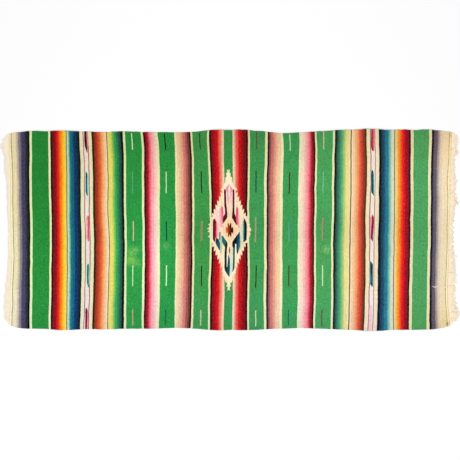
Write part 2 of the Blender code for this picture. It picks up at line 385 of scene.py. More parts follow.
# What the field has beyond its straight border, as rows of (up, left, right)
FIELD_PARTS = {
    "tip left barb": [
        (278, -10, -7.4), (272, -8.6, -4.4), (265, -6.8, -1.8), (256.5, -13.4, -1.8), (251, -12, -1.8),
        (246, -8.8, -1.8), (238, -16.6, -1.8), (226.2, -16, -1.8), (216, -18.5, -1.8), (182.8, -36.6, -1.8)],
    "tip right barb": [
        (278, 2, 4.6), (272, -0.6, 3.6), (265, -2.3, 2.2), (258.5, -2.3, 8.2), (250, -2.3, 9),
        (246, -2.3, 6.4), (239, -2.3, 14.6), (226.2, -2.3, 14.6), (216, -2.3, 17), (182.8, -2.3, 36.6)],
    "foot left barb": [
        (-191.9, -28.3, -0.9), (-217, -20, -0.9), (-232, -17.6, -0.9), (-240, -14, -0.9), (-244, -7, -0.9),
        (-256, -12.4, -0.9), (-262, -5, -0.9), (-270, -7.4, -3.2), (-277, -9, -6.6)],
    "foot right barb": [
        (-191.9, -1.8, 32), (-215, -1.8, 21), (-232, -1.8, 15.6), (-240, -1.8, 11.6), (-244, -1.8, 5),
        (-256, -1.8, 10), (-262, -1.8, 1.8), (-270, 0.4, 3.6), (-277, 2.6, 5)],
    "left star": [
        (60, -84, -64), (38, -86, -64), (30, -87, -64), (25.6, -95, -64), (19, -87.5, -64), (12, -90, -64),
        (6.9, -103.3, -64), (1.5, -90, -64), (-1.5, -90, -64), (-5.9, -98.5, -64), (-12, -88, -64),
        (-24, -87.5, -64), (-30.2, -95.4, -64), (-36, -86, -64), (-60, -84, -64)],
    "right star": [
        (64, 73.1, 83.2), (36.6, 73.1, 86.4), (24.2, 73.1, 96.4), (17.4, 73.1, 91.4), (4.6, 73.1, 101.9),
        (-2.7, 73.1, 101.5), (-7.3, 73.1, 94.1), (-16.9, 73.1, 98.7), (-27.4, 73.1, 95.5),
        (-41.1, 73.1, 88.7), (-59.4, 73.1, 85)],
}

# What lies on the field, each over the ones before it
INNER_SHAPES = [
    Shape("upper shine", (255, 240, 206), [
        (272, -6.5, 2), (262, -5, 1), (250, -7, 4), (225, -8, 8), (208, -15, 14), (190, -24, 26),
        (176, -30, -26)]),
    Shape("lower shine", (255, 234, 196), [(-214, -14, 12), (-232, -7, 6), (-256, -5, 3), (-272, -5, 2)]),
    Shape("arch", (228, 120, 150), [
        (209.3, -1.8, -0.5), (196.5, -11, 10.5), (182.8, -19.2, 19.2), (123.4, -15.5, 18.3),
        (77.7, -10.1, 16.5), (64, -7.8, 14.2), (44.3, 0.5, 2.3)], (240, 218, 186), 120),
    Shape("arch pale centre", (255, 222, 218), [(205, -0.5, 2), (196, -2, 5), (169, -2, 5.5), (150, -1, 4)]),
    Shape("arch left glow", (255, 226, 224), [(172, -12.8, -8), (140, -12.3, -7.8), (112, -11, -8)]),
    Shape("arch streak", (226, 150, 152), [(178.2, -5.9, -2.7), (150.8, -5.5, -1.8), (118.8, -4.6, -1.8)]),
    Shape("arch glow", (255, 202, 202), [(172, 10.5, 17.5), (146, 10.5, 17.8), (112, 11, 16.5)]),
    Shape("upper left bar", (92, 6, 26), [
        (187, -21.6, -18.7), (178.2, -23.1, -13.5), (123.4, -21.6, -11.9), (100.5, -20, -9.4),
        (74.9, -18.2, -6.6)]),
    Shape("upper left foot", (120, 20, 36), [
        (77.7, -18.2, -6.6), (56.7, -28, -7), (50.3, -29.5, -11), (36.6, -31.2, -21.4), (28.3, -32, -27)]),
    Shape("upper left foot shade", (84, 4, 14), [
        (70.8, -13.7, -8), (56.7, -18.3, -7.6), (50.3, -20.1, -11.9), (36.6, -25.1, -21)]),
    Shape("upper right bar", (102, 14, 28), [
        (187, 20.1, 22.4), (178.2, 16.3, 24.4), (123.4, 16.4, 25.2), (82.3, 15.8, 24.8)]),
    Shape("upper right foot", (96, 8, 20), [
        (83.2, 15.8, 24.8), (74.9, 14.8, 26), (56.7, 13.4, 33), (36.6, 24.6, 34.5), (27, 31.5, 36),
        (21.5, 36, 38.5)]),
    Shape("upper left gap", (255, 238, 226), [
        (112, -25.1, -22), (100.5, -25, -19), (76.8, -24.1, -18), (64, -25, -23.8)]),
    Shape("upper right gap", (255, 236, 218), [
        (155.4, 25.2, 28.4), (109.7, 25.6, 32.4), (77.7, 26.6, 33.8), (64, 32.9, 34.7)]),
    Shape("left pale blush", (254, 214, 202), [
        (92, -62, -46), (60, -66, -43), (36, -56, -40), (-4, -47.5, -40), (-28, -48, -43)]),
    Shape("left blush", (255, 172, 176), [
        (100.5, -41.6, -33.8), (82.3, -44, -27.4), (59.4, -43.5, -28), (40, -42, -28.6), (14, -38.6, -28.6)]),
    Shape("left rose", (222, 104, 124), [
        (107.4, -34.6, -30.2), (100.5, -36.4, -26), (73.1, -35, -24.4), (59.4, -34, -26.5), (42, -33, -28.5)],
        (228, 128, 138)),
    Shape("right blush", (250, 200, 186), [
        (100, 41, 47), (59.4, 43, 51), (36, 44, 52), (14, 46, 52), (-8, 47, 51)]),
    Shape("right pink", (240, 150, 156), [(92, 39, 42.4), (59.4, 39, 44), (36, 39, 46), (8, 43, 47)]),
    Shape("right rose", (212, 78, 102), [
        (106.9, 34.3, 37.6), (99.6, 32.6, 41), (80, 31.6, 40.6), (59.4, 31.6, 40), (40, 33.4, 39.5),
        (24, 36.5, 40)], (218, 90, 112)),
    Shape("left lozenge", (140, 14, 32), [
        (52.1, -65.4, -63.1), (37.9, -73.6, -57.6), (22.9, -73.6, -52.1), (-22, -73.6, -52),
        (-30, -73.6, -59), (-42, -73.6, -62.5), (-56, -66.4, -64.6)]),
    Shape("left lozenge edge", (78, 4, 8), [
        (49, -71, -66.5), (37.9, -73.6, -66), (-42, -73.6, -66.5), (-52, -69, -66)]),
    Shape("left lozenge rose", (236, 110, 134), [(32, -59.6, -56), (-26, -59.6, -54.5), (-36, -60, -56)]),
    Shape("left lozenge pink", (252, 178, 178), [(34, -56, -50), (-26, -54.5, -47.5), (-38, -56, -52)]),
    Shape("right pale green", (228, 228, 194), [
        (22, 55, 61), (-20, 51.4, 62), (-62, 50.4, 61), (-88, 46, 54)], (210, 212, 172), -70),
    Shape("right lozenge", (6, 44, 60), [
        (54.4, 68.6, 69.9), (36, 65.4, 79.1), (22.9, 65, 81.4), (-44.8, 65.4, 81), (-56.7, 66.7, 68.1)]),
    Shape("right lozenge navy", (0, 22, 38), [
        (40, 73.4, 77), (22.9, 73.4, 81.4), (-44.8, 73.4, 81), (-50, 72, 74.6)]),
    Shape("right lozenge edge", (74, 136, 140), [(36, 64.6, 68.6), (-10, 64, 69.6), (-44.8, 65, 68.6)]),
    Shape("right lozenge glow", (196, 214, 186), [(40.6, 60, 65.2), (-9.1, 60, 64.4), (-41.1, 61, 65.6)]),
    Shape("heart", (253, 214, 166), [
        (57.6, 0.5, 2.3), (27.4, -16.5, 20.1), (0, -32.4, 40.7), (-27.4, -17.4, 24.7), (-57.6, 0.9, 2.7)]),
    Shape("rosette brown", (142, 50, 20), [
        (33.4, -5, -2.3), (22.9, -5.5, 1.8), (18.3, -5, 4.1), (-20.6, -5, 4.1), (-32, -5, -2.3)]),
    Shape("rosette maroon", (82, 12, 4), [
        (33.4, 7.3, 9.6), (22.9, 4.1, 11.4), (-20.6, 4.1, 11.4), (-32.9, 7.3, 9.6)]),
    Shape("rosette orange", (204, 94, 62), [
        (14.6, -11.4, -8.7), (9.1, -13.7, -5), (-9.1, -13.7, -5), (-14.6, -11.4, -8.2)]),
    Shape("rosette black", (58, 8, 12), [
        (12.8, 13.7, 16.9), (6.9, 11.4, 19.7), (-9.1, 11.4, 19.7), (-15.5, 13.7, 16.9)]),
    Shape("olive bar", (122, 130, 100), [(-7.3, -43.4, -39.8), (-13.7, -45.2, -38), (-47.1, -45.2, -37.5)]),
    Shape("mint bar", (172, 214, 182), [
        (-24, -38.4, -33.4), (-59.4, -41, -31), (-91.4, -42, -30.6), (-106, -38, -34)], (176, 204, 164)),
    Shape("left blue", (28, 80, 108), [
        (-36, -58, -54.4), (-45.7, -62, -44.4), (-59.4, -62, -41), (-70, -57, -40.6), (-92.4, -44, -39.6)],
        (50, 84, 86)),
    Shape("left blue head", (24, 52, 80), [(-37, -57.4, -54.4), (-44, -60, -51), (-58, -59.5, -52)]),
    Shape("lower left foot", (44, 102, 96), [
        (-26, -33, -28), (-36.6, -33, -21), (-52.6, -32, -11.5), (-59.4, -29.4, -6.5), (-76, -19.8, -6.9)]),
    Shape("lower left foot shade", (18, 52, 46), [
        (-44, -16.4, -14.4), (-59.4, -13.6, -6.1), (-75.4, -13, -6.7)]),
    Shape("lower left bar", (16, 38, 30), [
        (-61.7, -17.8, -6.4), (-82.3, -18.3, -8.2), (-114.2, -20.6, -10.1), (-182.8, -20.6, -8.2),
        (-214.8, 0, 1.4)]),
    Shape("lower gap", (255, 242, 220), [(-109.7, -8.2, -2.7), (-128, -10.5, -3.7), (-167.3, -10.1, -4.6)]),
    Shape("lower middle bar", (12, 78, 84), [
        (-114, -3, -1), (-123.4, -4, 1.8), (-134.8, -5.4, 4.1), (-169.1, -8.2, 4.6),
        (-182.8, -10.1, 4.6), (-214.8, 0.5, 2.7)]),
    Shape("lower aqua", (204, 226, 210), [
        (-73.1, 13.8, 17.4), (-91.4, 13.6, 18.9), (-112, 12, 18.6), (-128, 7.5, 18.3), (-182.8, 5, 17.4),
        (-207.9, 5, 7.3)]),
    Shape("lower right bar", (34, 70, 64), [
        (-68.6, 18.6, 27.9), (-91.4, 18.8, 27.4), (-119, 18.8, 26.6), (-173.7, 17, 25), (-191, 16, 19)]),
    Shape("lower right foot", (6, 18, 10), [
        (-14, 43.6, 45.7), (-36.6, 26.6, 39), (-54.8, 15.1, 35), (-75.9, 15.1, 28.3), (-82.3, 19.7, 27.4)]),
    Shape("right blue", (14, 56, 90), [
        (-8.5, 47, 49.3), (-22.9, 40.1, 50.6), (-36.6, 34.9, 51.2), (-57.1, 32, 51), (-76, 31.6, 48),
        (-91, 34, 45), (-109, 36.6, 39.7)]),
    Shape("right jade", (58, 120, 116), [
        (-24, 47, 50.6), (-57, 43.4, 51.6), (-73.1, 42, 51.6), (-91.4, 39.6, 46), (-100, 38.5, 42.5)]),
    Shape("right blue's tip", (10, 18, 34), [(-93, 35, 40), (-102, 36, 41), (-109, 36.6, 39.7)]),
    Shape("lower right gap", (255, 242, 222), [(-64, 28.3, 33.8), (-91.4, 27, 33.8), (-114.2, 27.9, 32)]),
    Shape("speck", (84, 64, 56), [(-79.5, 1.8, 4.1), (-92.3, 0, 5.9), (-107.9, 1.8, 4.1)]),
    Shape("left hem of the field", (255, 242, 218), [
        (-173.7, -29.2, -21), (-187.4, -25.6, -18.3), (-214.8, -4.6, 0.9), (-223.9, -0.5, 2.7)]),
    Shape("right hem of the field", (255, 242, 218), [
        (-173.7, 27.4, 33.8), (-187.4, 21, 30.2), (-214.8, 2.7, 10.1), (-223.9, 0, 3.7)]),
]

# Pale marks in the green, where colour has been lost, and soiling at the corners
Stain = namedtuple("Stain", "along across reach strength shade")
STAINS = [
    Stain(-456, -140, 38, 0.55, (152, 206, 84)),
    Stain(-452, -98, 38, 0.4, (148, 202, 92)),
    Stain(-430, -88, 28, 0.25, (150, 208, 120)),
    Stain(-426, -150, 34, 0.2, (150, 196, 100)),
    Stain(-292, -74, 30, 0.2, (150, 200, 130)),
    Stain(446, -90, 28, 0.42, (170, 224, 150)),
    Stain(430, -98, 20, 0.35, (120, 168, 50)),
    Stain(1003, 438, 16, 0.6, (206, 176, 60)),
    Stain(1000, -440, 14, 0.7, (128, 104, 44)),
    Stain(985, -425, 34, 0.3, (214, 190, 96)),
]


# Curves


def linear(shade):
    # Linear light of a shade given as 0 to 255
    return tuple(pow((c / 255 + 0.055) / 1.055, 2.4) if c > 10 else c / 255 / 12.92 for c in shade)


def eased(share):
    share = np.clip(share, 0, 1)
    return share * share * (3 - 2 * share)


def bell(offset, half_span):
    share = np.clip(np.abs(offset) / half_span, 0, 1)
    return np.cos(np.pi / 2 * share) ** 2


def smooth_curve(places, knots, values):
    # Hermite curve through values at rising knots. values may have further axes.
    slopes = np.gradient(values, knots, axis=0)
    index = np.clip(np.searchsorted(knots, places) - 1, 0, len(knots) - 2)
    step = (knots[index + 1] - knots[index]).reshape(-1, *[1] * (values.ndim - 1))
    share = np.clip((places - knots[index]), 0, None).reshape(step.shape) / step
    share = np.minimum(share, 1)
    square, cube = share**2, share**3
    return (
        (2 * cube - 3 * square + 1) * values[index]
        + (cube - 2 * square + share) * step * slopes[index]
        + (3 * square - 2 * cube) * values[index + 1]
        + (cube - square) * step * slopes[index + 1]
    )


def softened(values, axis):
    # Each value drawn towards its two neighbours along an axis
    padded = np.pad(values, [(1, 1) if k == axis else (0, 0) for k in range(values.ndim)], mode="edge")
    before, after = (np.take(padded, np.arange(values.shape[axis]) + k, axis) for k in (0, 2))
    return (before + 2 * values + after) / 4


# The cloth's outline and height, read from its CAD node

CORNER_GAP = 6.0
OUTLINE_POINTS = 160

# Share of the way out at which a height is read, so that the outermost ones still lie under the cloth
READ_IN = (0.996, 0.992)


def edge_lines(mesh):
    # The start and end of every edge in the flat
    points = np.array([v.co for v in mesh.vertices])[:, :2] / MM
    edges = np.array([e.vertices for e in mesh.edges])
    return points[edges[:, 0]], points[edges[:, 1]]


def crossings(lines, axis, place):
    # Where edges cross a line that lies at a place on an axis
    start, end = lines
    met = (start[:, axis] - place) * (end[:, axis] - place) < 0
    start, end = start[met], end[met]
    share = (place - start[:, axis]) / (end[:, axis] - start[:, axis])
    return start[:, 1 - axis] + (end[:, 1 - axis] - start[:, 1 - axis]) * share


class Outline:
    """The cloth's four sides in the flat, and the height of its underside."""

    def __init__(self, mesh):
        corners = [v.co / MM for v in mesh.vertices]
        self.lines = edge_lines(mesh)
        self.tree = BVHTree.FromPolygons(corners, [p.vertices for p in mesh.polygons])
        flat = np.array(corners)[:, :2]
        signs = (-1, 1)
        self.corner = {(x, y): flat[np.argmax(flat @ (x, y))] for x in signs for y in signs}
        self.selvedge = {side: self.edge(0, side) for side in signs}
        self.end_line = {side: self.edge(1, side) for side in signs}

    def edge(self, axis, side):
        # One side of the outline as rising places and values, rounded where the CAD has corners
        ends = [self.corner[(s, side) if axis == 0 else (side, s)] for s in (-1, 1)]
        low, high = ends[0][axis], ends[1][axis]
        places = np.linspace(low + CORNER_GAP, high - CORNER_GAP, OUTLINE_POINTS)
        values = np.array([side * (side * crossings(self.lines, axis, p)).max() for p in places])
        values = softened(softened(values, 0), 0)
        values = np.concatenate([[ends[0][1 - axis]], values, [ends[1][1 - axis]]])
        return np.concatenate([[low], places, [high]]), values

    def place(self, along, across):
        # Place in the flat for shares along (0 to 1) and across (-1 to 1)
        sides = []
        for side in (-1, 1):
            low, high = self.corner[(side, -1)][1], self.corner[(side, 1)][1]
            sides.append(np.interp(low + (high - low) * (across + 1) / 2, *self.end_line[side]))
        x = sides[0] + (sides[1] - sides[0]) * along
        lower, upper = (np.interp(x, *self.selvedge[side]) for side in (-1, 1))
        return x, lower + (upper - lower) * (across + 1) / 2

    def lift(self, x, y):
        # Height of the CAD cloth's underside
        start = Vector((x * READ_IN[0], y * READ_IN[1], -100.0))
        place = self.tree.ray_cast(start, Vector((0, 0, 1)))[0]
        return place.z if place else 0.0


outline = Outline(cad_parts["woven_cloth"].data)


def lift_map(columns=101, rows=47):
    # The underside's height on a coarse grid, with the CAD's facets smoothed away
    across, along = np.meshgrid(np.linspace(-1, 1, rows), np.linspace(0, 1, columns))
    x, y = outline.place(along, across)
    height = np.array([[outline.lift(*p) for p in zip(*line)] for line in zip(x, y)])
    for _ in range(3):
        height = softened(softened(height, 0), 1)
    return height


def read_map(height, along, across):
    # Value of a coarse grid at shares along and across
    columns, rows = height.shape
    a = np.clip(along, 0, 1) * (columns - 1)
    b = (np.clip(across, -1, 1) + 1) / 2 * (rows - 1)
    i, j = np.minimum(a.astype(int), columns - 2), np.minimum(b.astype(int), rows - 2)
    share_a, share_b = ((eased(share) + share) / 2 for share in (a - i, b - j))
    low = height[i, j] * (1 - share_a) + height[i + 1, j] * share_a
    high = height[i, j + 1] * (1 - share_a) + height[i + 1, j + 1] * share_a
    return low * (1 - share_b) + high * share_b


def cockle_height(x, y):
    height = np.zeros_like(x)
    for c in COCKLES:
        shift = x - c.along - c.slant * (y - c.across)
        height += c.height * bell(shift, c.half_along) * bell(y - c.across, c.half_across)
    return height


def lay_place(x, across):
    # Which pick lies at a place along the cloth, for a share across it
    picks = np.array(list(STRAYS), float)
    strays = np.array(list(STRAYS.values())).T
    by_row = smooth_curve(across[:, 0] * HALF_CLOTH, np.array(LAY_HEIGHTS, float), strays)
    pick = x.copy()
    for _ in range(3):
        for row, stray in enumerate(by_row):
            pick[row] = x[row] - np.interp(pick[row], picks, stray)
    left = eased(1 - (x - x[:, :1]) / END_BLEND)
    right = eased(1 - (x[:, -1:] - x) / END_BLEND)
    return pick + left * (FIRST_PICK - pick[:, :1]) + right * (LAST_PICK - pick[:, -1:])


# The cloth's mesh


def add_piece(name, mesh):
    piece = bpy.data.objects.new(name, mesh)
    bpy.context.scene.collection.objects.link(piece)
    return piece


def mesh_piece(name, points, faces, maps, slots, kinds):
    """A piece from points in millimetres. maps gives each UV map's value at every face corner."""
    mesh = bpy.data.meshes.new(name)
    mesh.from_pydata(points * MM, [], faces)
    for map_name, values in maps.items():
        layer = mesh.uv_layers.new(name=map_name)
        layer.data.foreach_set("uv", np.ascontiguousarray(values, dtype=np.float32).ravel())
    for material in slots:
        mesh.materials.append(material)
    mesh.polygons.foreach_set("material_index", kinds.astype(np.int32))
    mesh.polygons.foreach_set("use_smooth", np.ones(len(mesh.polygons), dtype=bool))
    mesh.update()
    return add_piece(name, mesh)


def grid_quads(index):
    # Quads of a grid of point numbers, facing up where rows rise across and columns along
    a, b, c, d = index[:-1, :-1], index[:-1, 1:], index[1:, 1:], index[1:, :-1]
    return np.stack([a, b, c, d], axis=-1).reshape(-1, 4)


# The grid: rows to a rib, and rows of the upper face to one of the underside. Columns are a cell's length
# apart, and closer together at the ends. The wall thins to a share of itself at the rim and beside it,
# and the underside is drawn in there.
ROWS_PER_RIB = 3
UNDER_STEP = 9
CELL_LENGTH = 15.5
RIM_STEPS = (0.0, 1.6, 4.5)
RIM_WALL = 0.5
NEAR_RIM_WALL = 0.93
UNDER_INSET = 0.9

# Hand work: how unevenly the warps are spaced, the ribs stand and the selvedge turns
WARP_STRAY = 1.6
WARP_STRAY_ROWS = 25
RIB_SHARES = (0.75, 1.15)
SELVEDGE_STRAY = 0.45


def cloth_columns(length):
    # Shares along the cloth for the grid's columns
    rim = np.array(RIM_STEPS)
    inner = np.arange(1, round((length - 2 * rim[-1]) / CELL_LENGTH)) * CELL_LENGTH + rim[-1]
    inner = inner[inner < length - rim[-1] - CELL_LENGTH / 2]
    return np.concatenate([rim, inner, length - rim[::-1]]) / length


def warp_strays(rng, rows):
    # How far each row strays across the cloth, dying away at both selvedges
    noise = rng.normal(0, WARP_STRAY, rows + WARP_STRAY_ROWS - 1)
    stray = np.convolve(noise, np.ones(WARP_STRAY_ROWS) / WARP_STRAY_ROWS, mode="valid")
    row = np.arange(rows)
    return stray * np.minimum(1, np.minimum(row, row[::-1]) / (WARP_STRAY_ROWS // 2))


def wall_heights(rng, rows, columns):
    # The wall's height at every point, with the ribs and a thinner rim
    rib = np.where(np.arange(rows) % ROWS_PER_RIB == 0, 0.0, RIB_HEIGHT) * rng.uniform(*RIB_SHARES, rows)
    wall = (THICKNESS - RIB_HEIGHT) + np.repeat(rib[:, None], columns, axis=1)
    wall[1:-1, [1, -2]] *= NEAR_RIM_WALL
    wall[[0, -1], :] = wall[:, [0, -1]] = THICKNESS * RIM_WALL
    return wall


def cloth_surface():
    """The cloth's top and underside as grids of points, with the pick and warp that lie at each."""
    rng = np.random.default_rng(7)
    rows = RIB_COUNT * ROWS_PER_RIB + 1
    along = cloth_columns(LAST_PICK - FIRST_PICK)
    stray = warp_strays(rng, rows) / HALF_CLOTH
    s, t = np.meshgrid(along, np.linspace(-1, 1, rows))
    x, y = outline.place(s, t + stray[:, None])
    under = read_map(lift_map(), s, t) + cockle_height(x, y)
    wall = wall_heights(rng, rows, len(along))
    lay = np.stack([lay_place(x, t), t * HALF_CLOTH], axis=-1)
    # The selvedge bulges and draws in a little where each shade turns round
    y[[0, -1]] += rng.normal(0, SELVEDGE_STRAY, (2, len(along)))
    top = np.stack([x, y, under + wall], axis=-1)
    low = np.stack([x, y, under], axis=-1)[::UNDER_STEP]
    low[[0, -1], :, 1] += np.array([[UNDER_INSET], [-UNDER_INSET]])
    low[:, [0, -1], 0] += (UNDER_INSET, -UNDER_INSET)
    return top, low, lay, lay[::UNDER_STEP]


def wall_faces(top, low):
    # Faces down the four sides, between the upper face's grid of point numbers and the underside's
    faces = []
    for row, order in ((0, 1), (-1, -1)):
        a, b = top[row], low[row]
        faces += [[b[k], b[k + 1], a[k + 1], a[k]][::order] for k in range(len(a) - 1)]
    for column, order in ((0, -1), (-1, 1)):
        a, b = top[:, column], low[:, column]
        for k in range(len(b) - 1):
            stretch = a[k * UNDER_STEP : (k + 1) * UNDER_STEP + 1]
            faces.append([b[k], b[k + 1], *stretch[::-1]][::order])
    return faces


def cloth_piece(materials):
    top, low, lay_top, lay_low = cloth_surface()
    top_index = np.arange(top[..., 0].size).reshape(top.shape[:2])
    low_index = top_index.size + np.arange(low[..., 0].size).reshape(low.shape[:2])
    top_faces = grid_quads(top_index)
    low_faces = grid_quads(low_index)[:, ::-1]
    side_faces = wall_faces(top_index, low_index)
    points = np.concatenate([top.reshape(-1, 3), low.reshape(-1, 3)])
    lay = np.concatenate([lay_top.reshape(-1, 2), lay_low.reshape(-1, 2)])
    faces = [*top_faces.tolist(), *low_faces.tolist(), *side_faces]
    corner = np.concatenate([top_faces.ravel(), low_faces.ravel(), *side_faces])
    shares = (lay - (FIRST_PICK, -HALF_CLOTH)) / (LAST_PICK - FIRST_PICK, 2 * HALF_CLOTH)
    maps = {"lay": lay[corner] * MM, "OFBake": bake_places(shares, corner, top_faces, low_faces)}
    kinds = np.searchsorted(SPLITS, [lay[f].mean(axis=0)[0] for f in faces])
    return mesh_piece("serape_cloth", points, faces, maps, materials, kinds)


# The bake's square: each half of the upper face has this height, the right one starts higher up,
# and a strip above both is for the underside and the sides.
HALF_HEIGHT = 0.445
RIGHT_START = 0.45
STRIP_START = 0.9
BAKE_MARGIN = 0.004
NEAR_RIM = 0.002


def bake_places(shares, corner, top_faces, low_faces):
    """Places on the bake's square for every face corner, from shares along and across the cloth."""
    place = shares[corner].copy()
    upper = place[: top_faces.size].reshape(-1, 4, 2)
    right = (upper[:, :, 0].mean(axis=1) > 0.5)[:, None]
    upper[:, :, 0] = upper[:, :, 0] * 2 - right
    upper[:, :, 1] = upper[:, :, 1] * HALF_HEIGHT + right * RIGHT_START
    lower = place[top_faces.size :]
    lower[:, 1] = STRIP_START + BAKE_MARGIN + lower[:, 1] * (1 - STRIP_START - 2 * BAKE_MARGIN)
    # A side's upper corners are pushed out, so that it has an area of its own
    sides = slice(top_faces.size + low_faces.size, None)
    on_top = corner[sides] < top_faces.max() + 1
    edge = shares[corner[sides]]
    push = np.where(edge < NEAR_RIM, -1.0, np.where(edge > 1 - NEAR_RIM, 1.0, 0.0)) * on_top[:, None]
    place[sides] += push * (0.0, BAKE_MARGIN)
    place[:, 0] = BAKE_MARGIN + place[:, 0] * (1 - 2 * BAKE_MARGIN)
    return place


# Node helpers


class Value:
    """What a node puts out. Arithmetic and comparisons on it add the nodes for them."""

    def __init__(self, tree, socket):
        self.tree, self.socket = tree, socket

    def __add__(self, other):
        return self.tree.math("ADD", self, other)

    def __sub__(self, other):
        return self.tree.math("SUBTRACT", self, other)

    def __mul__(self, other):
        return self.tree.math("MULTIPLY", self, other)

    def __truediv__(self, other):
        return self.tree.math("DIVIDE", self, other)

    def __gt__(self, other):
        return self.tree.math("GREATER_THAN", self, other)

    def __lt__(self, other):
        return self.tree.math("LESS_THAN", self, other)

    def __abs__(self):
        return self.tree.math("ABSOLUTE", self)


class Tree:
    """Short calls for wiring one node tree."""

    def __init__(self, tree):
        self.tree = tree

    def feed(self, socket, value):
        if isinstance(value, Value):
            self.tree.links.new(value.socket, socket)
        else:
            socket.default_value = value

    def node(self, kind, settings=None, inputs=None):
        node = self.tree.nodes.new(kind)
        for key, value in (settings or {}).items():
            setattr(node, key, value)
        for key, value in (inputs or {}).items():
            self.feed(node.inputs[key], value)
        return node

    def out(self, node, key=0):
        return Value(self, node.outputs[key])

    def math(self, operation, *values):
        return self.out(self.node("ShaderNodeMath", {"operation": operation}, dict(enumerate(values))))

    def vector(self, x, y):
        return self.out(self.node("ShaderNodeCombineXYZ", inputs={"X": x, "Y": y}))

    def split(self, vector):
        node = self.node("ShaderNodeSeparateXYZ", inputs={"Vector": vector})
        return self.out(node, "X"), self.out(node, "Y")

    def uv(self, name):
        return self.split(self.out(self.node("ShaderNodeUVMap", {"uv_map": name})))

    def object_place(self):
        return self.out(self.node("ShaderNodeTexCoord"), "Object")

    def scaled(self, vector, factor):
        inputs = {"Vector": vector, "Scale": factor}
        return self.out(self.node("ShaderNodeVectorMath", {"operation": "SCALE"}, inputs))

    def ranged(self, value, low, high, to_low=0.0, to_high=1.0, clamp=True, kind="LINEAR"):
        inputs = {"Value": value, "From Min": low, "From Max": high, "To Min": to_low, "To Max": to_high}
        return self.out(self.node("ShaderNodeMapRange", {"clamp": clamp, "interpolation_type": kind}, inputs))

    def near(self, value, middle, reach):
        # One at the middle, easing to zero at the reach
        return self.ranged(abs(value - middle), reach, 0.0, kind="SMOOTHSTEP")

    def noise(self, place, scale=1.0, detail=2.0, dimensions="2D"):
        inputs = {"Vector": place, "Scale": scale, "Detail": detail}
        return self.out(self.node("ShaderNodeTexNoise", {"noise_dimensions": dimensions}, inputs))

    def clouds(self, x, y, length, width, detail=2.0):
        # Noise in clouds of a length along x and a width along y
        return self.noise(self.vector(x / length, y / width), detail=detail)

    def mix(self, share, first, second, kind="MIX"):
        colours = [(*c, 1.0) if isinstance(c, tuple) else c for c in (first, second)]
        inputs = {0: share, 6: colours[0], 7: colours[1]}
        return self.out(self.node("ShaderNodeMix", {"data_type": "RGBA", "blend_type": kind}, inputs), 2)

    def bump(self, height, strength, depth):
        inputs = {"Strength": strength, "Distance": depth * MM, "Height": height}
        return self.out(self.node("ShaderNodeBump", inputs=inputs))

    def group(self, group, **inputs):
        return self.node("ShaderNodeGroup", {"node_tree": group}, inputs)

    def steps(self, value, stops):
        """A colour and its alpha that change in clean steps, from stops (place from 0 to 1, colour)."""
        node = self.node("ShaderNodeValToRGB", inputs={"Fac": value})
        ramp = node.color_ramp
        ramp.interpolation = "CONSTANT"
        ramp.elements.remove(ramp.elements[1])
        for number, (place, colour) in enumerate(stops):
            element = ramp.elements.new(place) if number else ramp.elements[0]
            element.position = place
            element.color = (*colour, 1.0)[:4]
        return self.out(node, "Color"), self.out(node, "Alpha")

    def line(self, value, points):
        """A bent line of straight stretches through points (place, value), both from 0 to 1."""
        node = self.node("ShaderNodeFloatCurve", inputs={"Value": value})
        curve = node.mapping.curves[0]
        while len(curve.points) < len(points):
            curve.points.new(0.5, 0.5)
        for point, place in zip(curve.points, points):
            point.location = place
            point.handle_type = "VECTOR"
        node.mapping.update()
        return self.out(node)


def new_group(name, inputs, outputs):
    # An empty node group with its tree, what is given to it and what it puts out
    group = bpy.data.node_groups.new(name, "ShaderNodeTree")
    for side, sockets in (("INPUT", inputs), ("OUTPUT", outputs)):
        for key, kind in sockets.items():
            group.interface.new_socket(name=key, in_out=side, socket_type="NodeSocket" + kind)
    tree = Tree(group)
    given = tree.node("NodeGroupInput")
    return group, tree, [tree.out(given, key) for key in inputs], tree.node("NodeGroupOutput").inputs


def new_material(name, looks):
    # A material with constant looks, given by the names of the shader's inputs
    material = bpy.data.materials.new(name)
    material.use_nodes = True
    shader = material.node_tree.nodes["Principled BSDF"]
    for key, value in looks.items():
        shader.inputs[key].default_value = value
    return material, Tree(material.node_tree), shader.inputs


# The cloth's materials

WOOL = {"Roughness": 0.88, "Specular IOR Level": 0.04, "Sheen Weight": 0.04, "Sheen Roughness": 0.3}

# How far wefts wander in long waves, and how far each jumps from rib to rib
WANDER = 1.6
WANDER_LENGTH = 120.0
WEFT_JITTER = 0.9
JITTER_LENGTH = 30.0
JITTER_STEP = 7.3

# Share of the wefts' straying that shows in the lozenges and the diamond
SHAPE_STRAY = 0.5

# Painted light on the lower part of the cloth, growing from one height down to another, and its strength at
# the left end and the right end
PAINTED_LIGHT_HEIGHTS = (318.0, -300.0)
PAINTED_LIGHT_ENDS = (-1000.0, 1000.0)
PAINTED_LIGHT_STRENGTHS = (0.26, -0.08)

# Clouding of the yarn: length along the cloth, length across it, detail and depth
UNEVENNESS = [
    (1.6, 70.0, 2.0, 0.34),
    (9.0, 190.0, 2.0, 0.22),
    (8.5, 9.5, 2.0, 0.85),
    (45.0, 45.0, 3.0, 0.3),
]
PALE_CALM = 0.75
VALLEY_SHADE = 0.035

# Painted light and shade, as brightness by share across the cloth from the lower selvedge,
# and how much of it shows from the left end to a place along the cloth
PAINTED_SHADE_ACROSS = [
    (0.0, 0.88), (0.04, 0.94), (0.12, 0.99), (0.25, 1.02), (0.38, 1.02), (0.47, 0.96),
    (0.53, 0.96), (0.62, 1.02), (0.78, 1.02), (0.87, 0.95), (0.93, 0.89), (1.0, 0.84),
]
PAINTED_SHADE_ALONG = (-640.0, -380.0, 0.25, 1.0)

# A painted bluish shade on the foot of the cloth, by heights across it and by the places along it where it
# ends
PAINTED_COOL_GAIN = (1.0, 1.02, 1.14)
PAINTED_COOL_HEIGHTS = (-210.0, -340.0)
PAINTED_COOL_END = (700.0, 860.0, 1.0, 0.0)
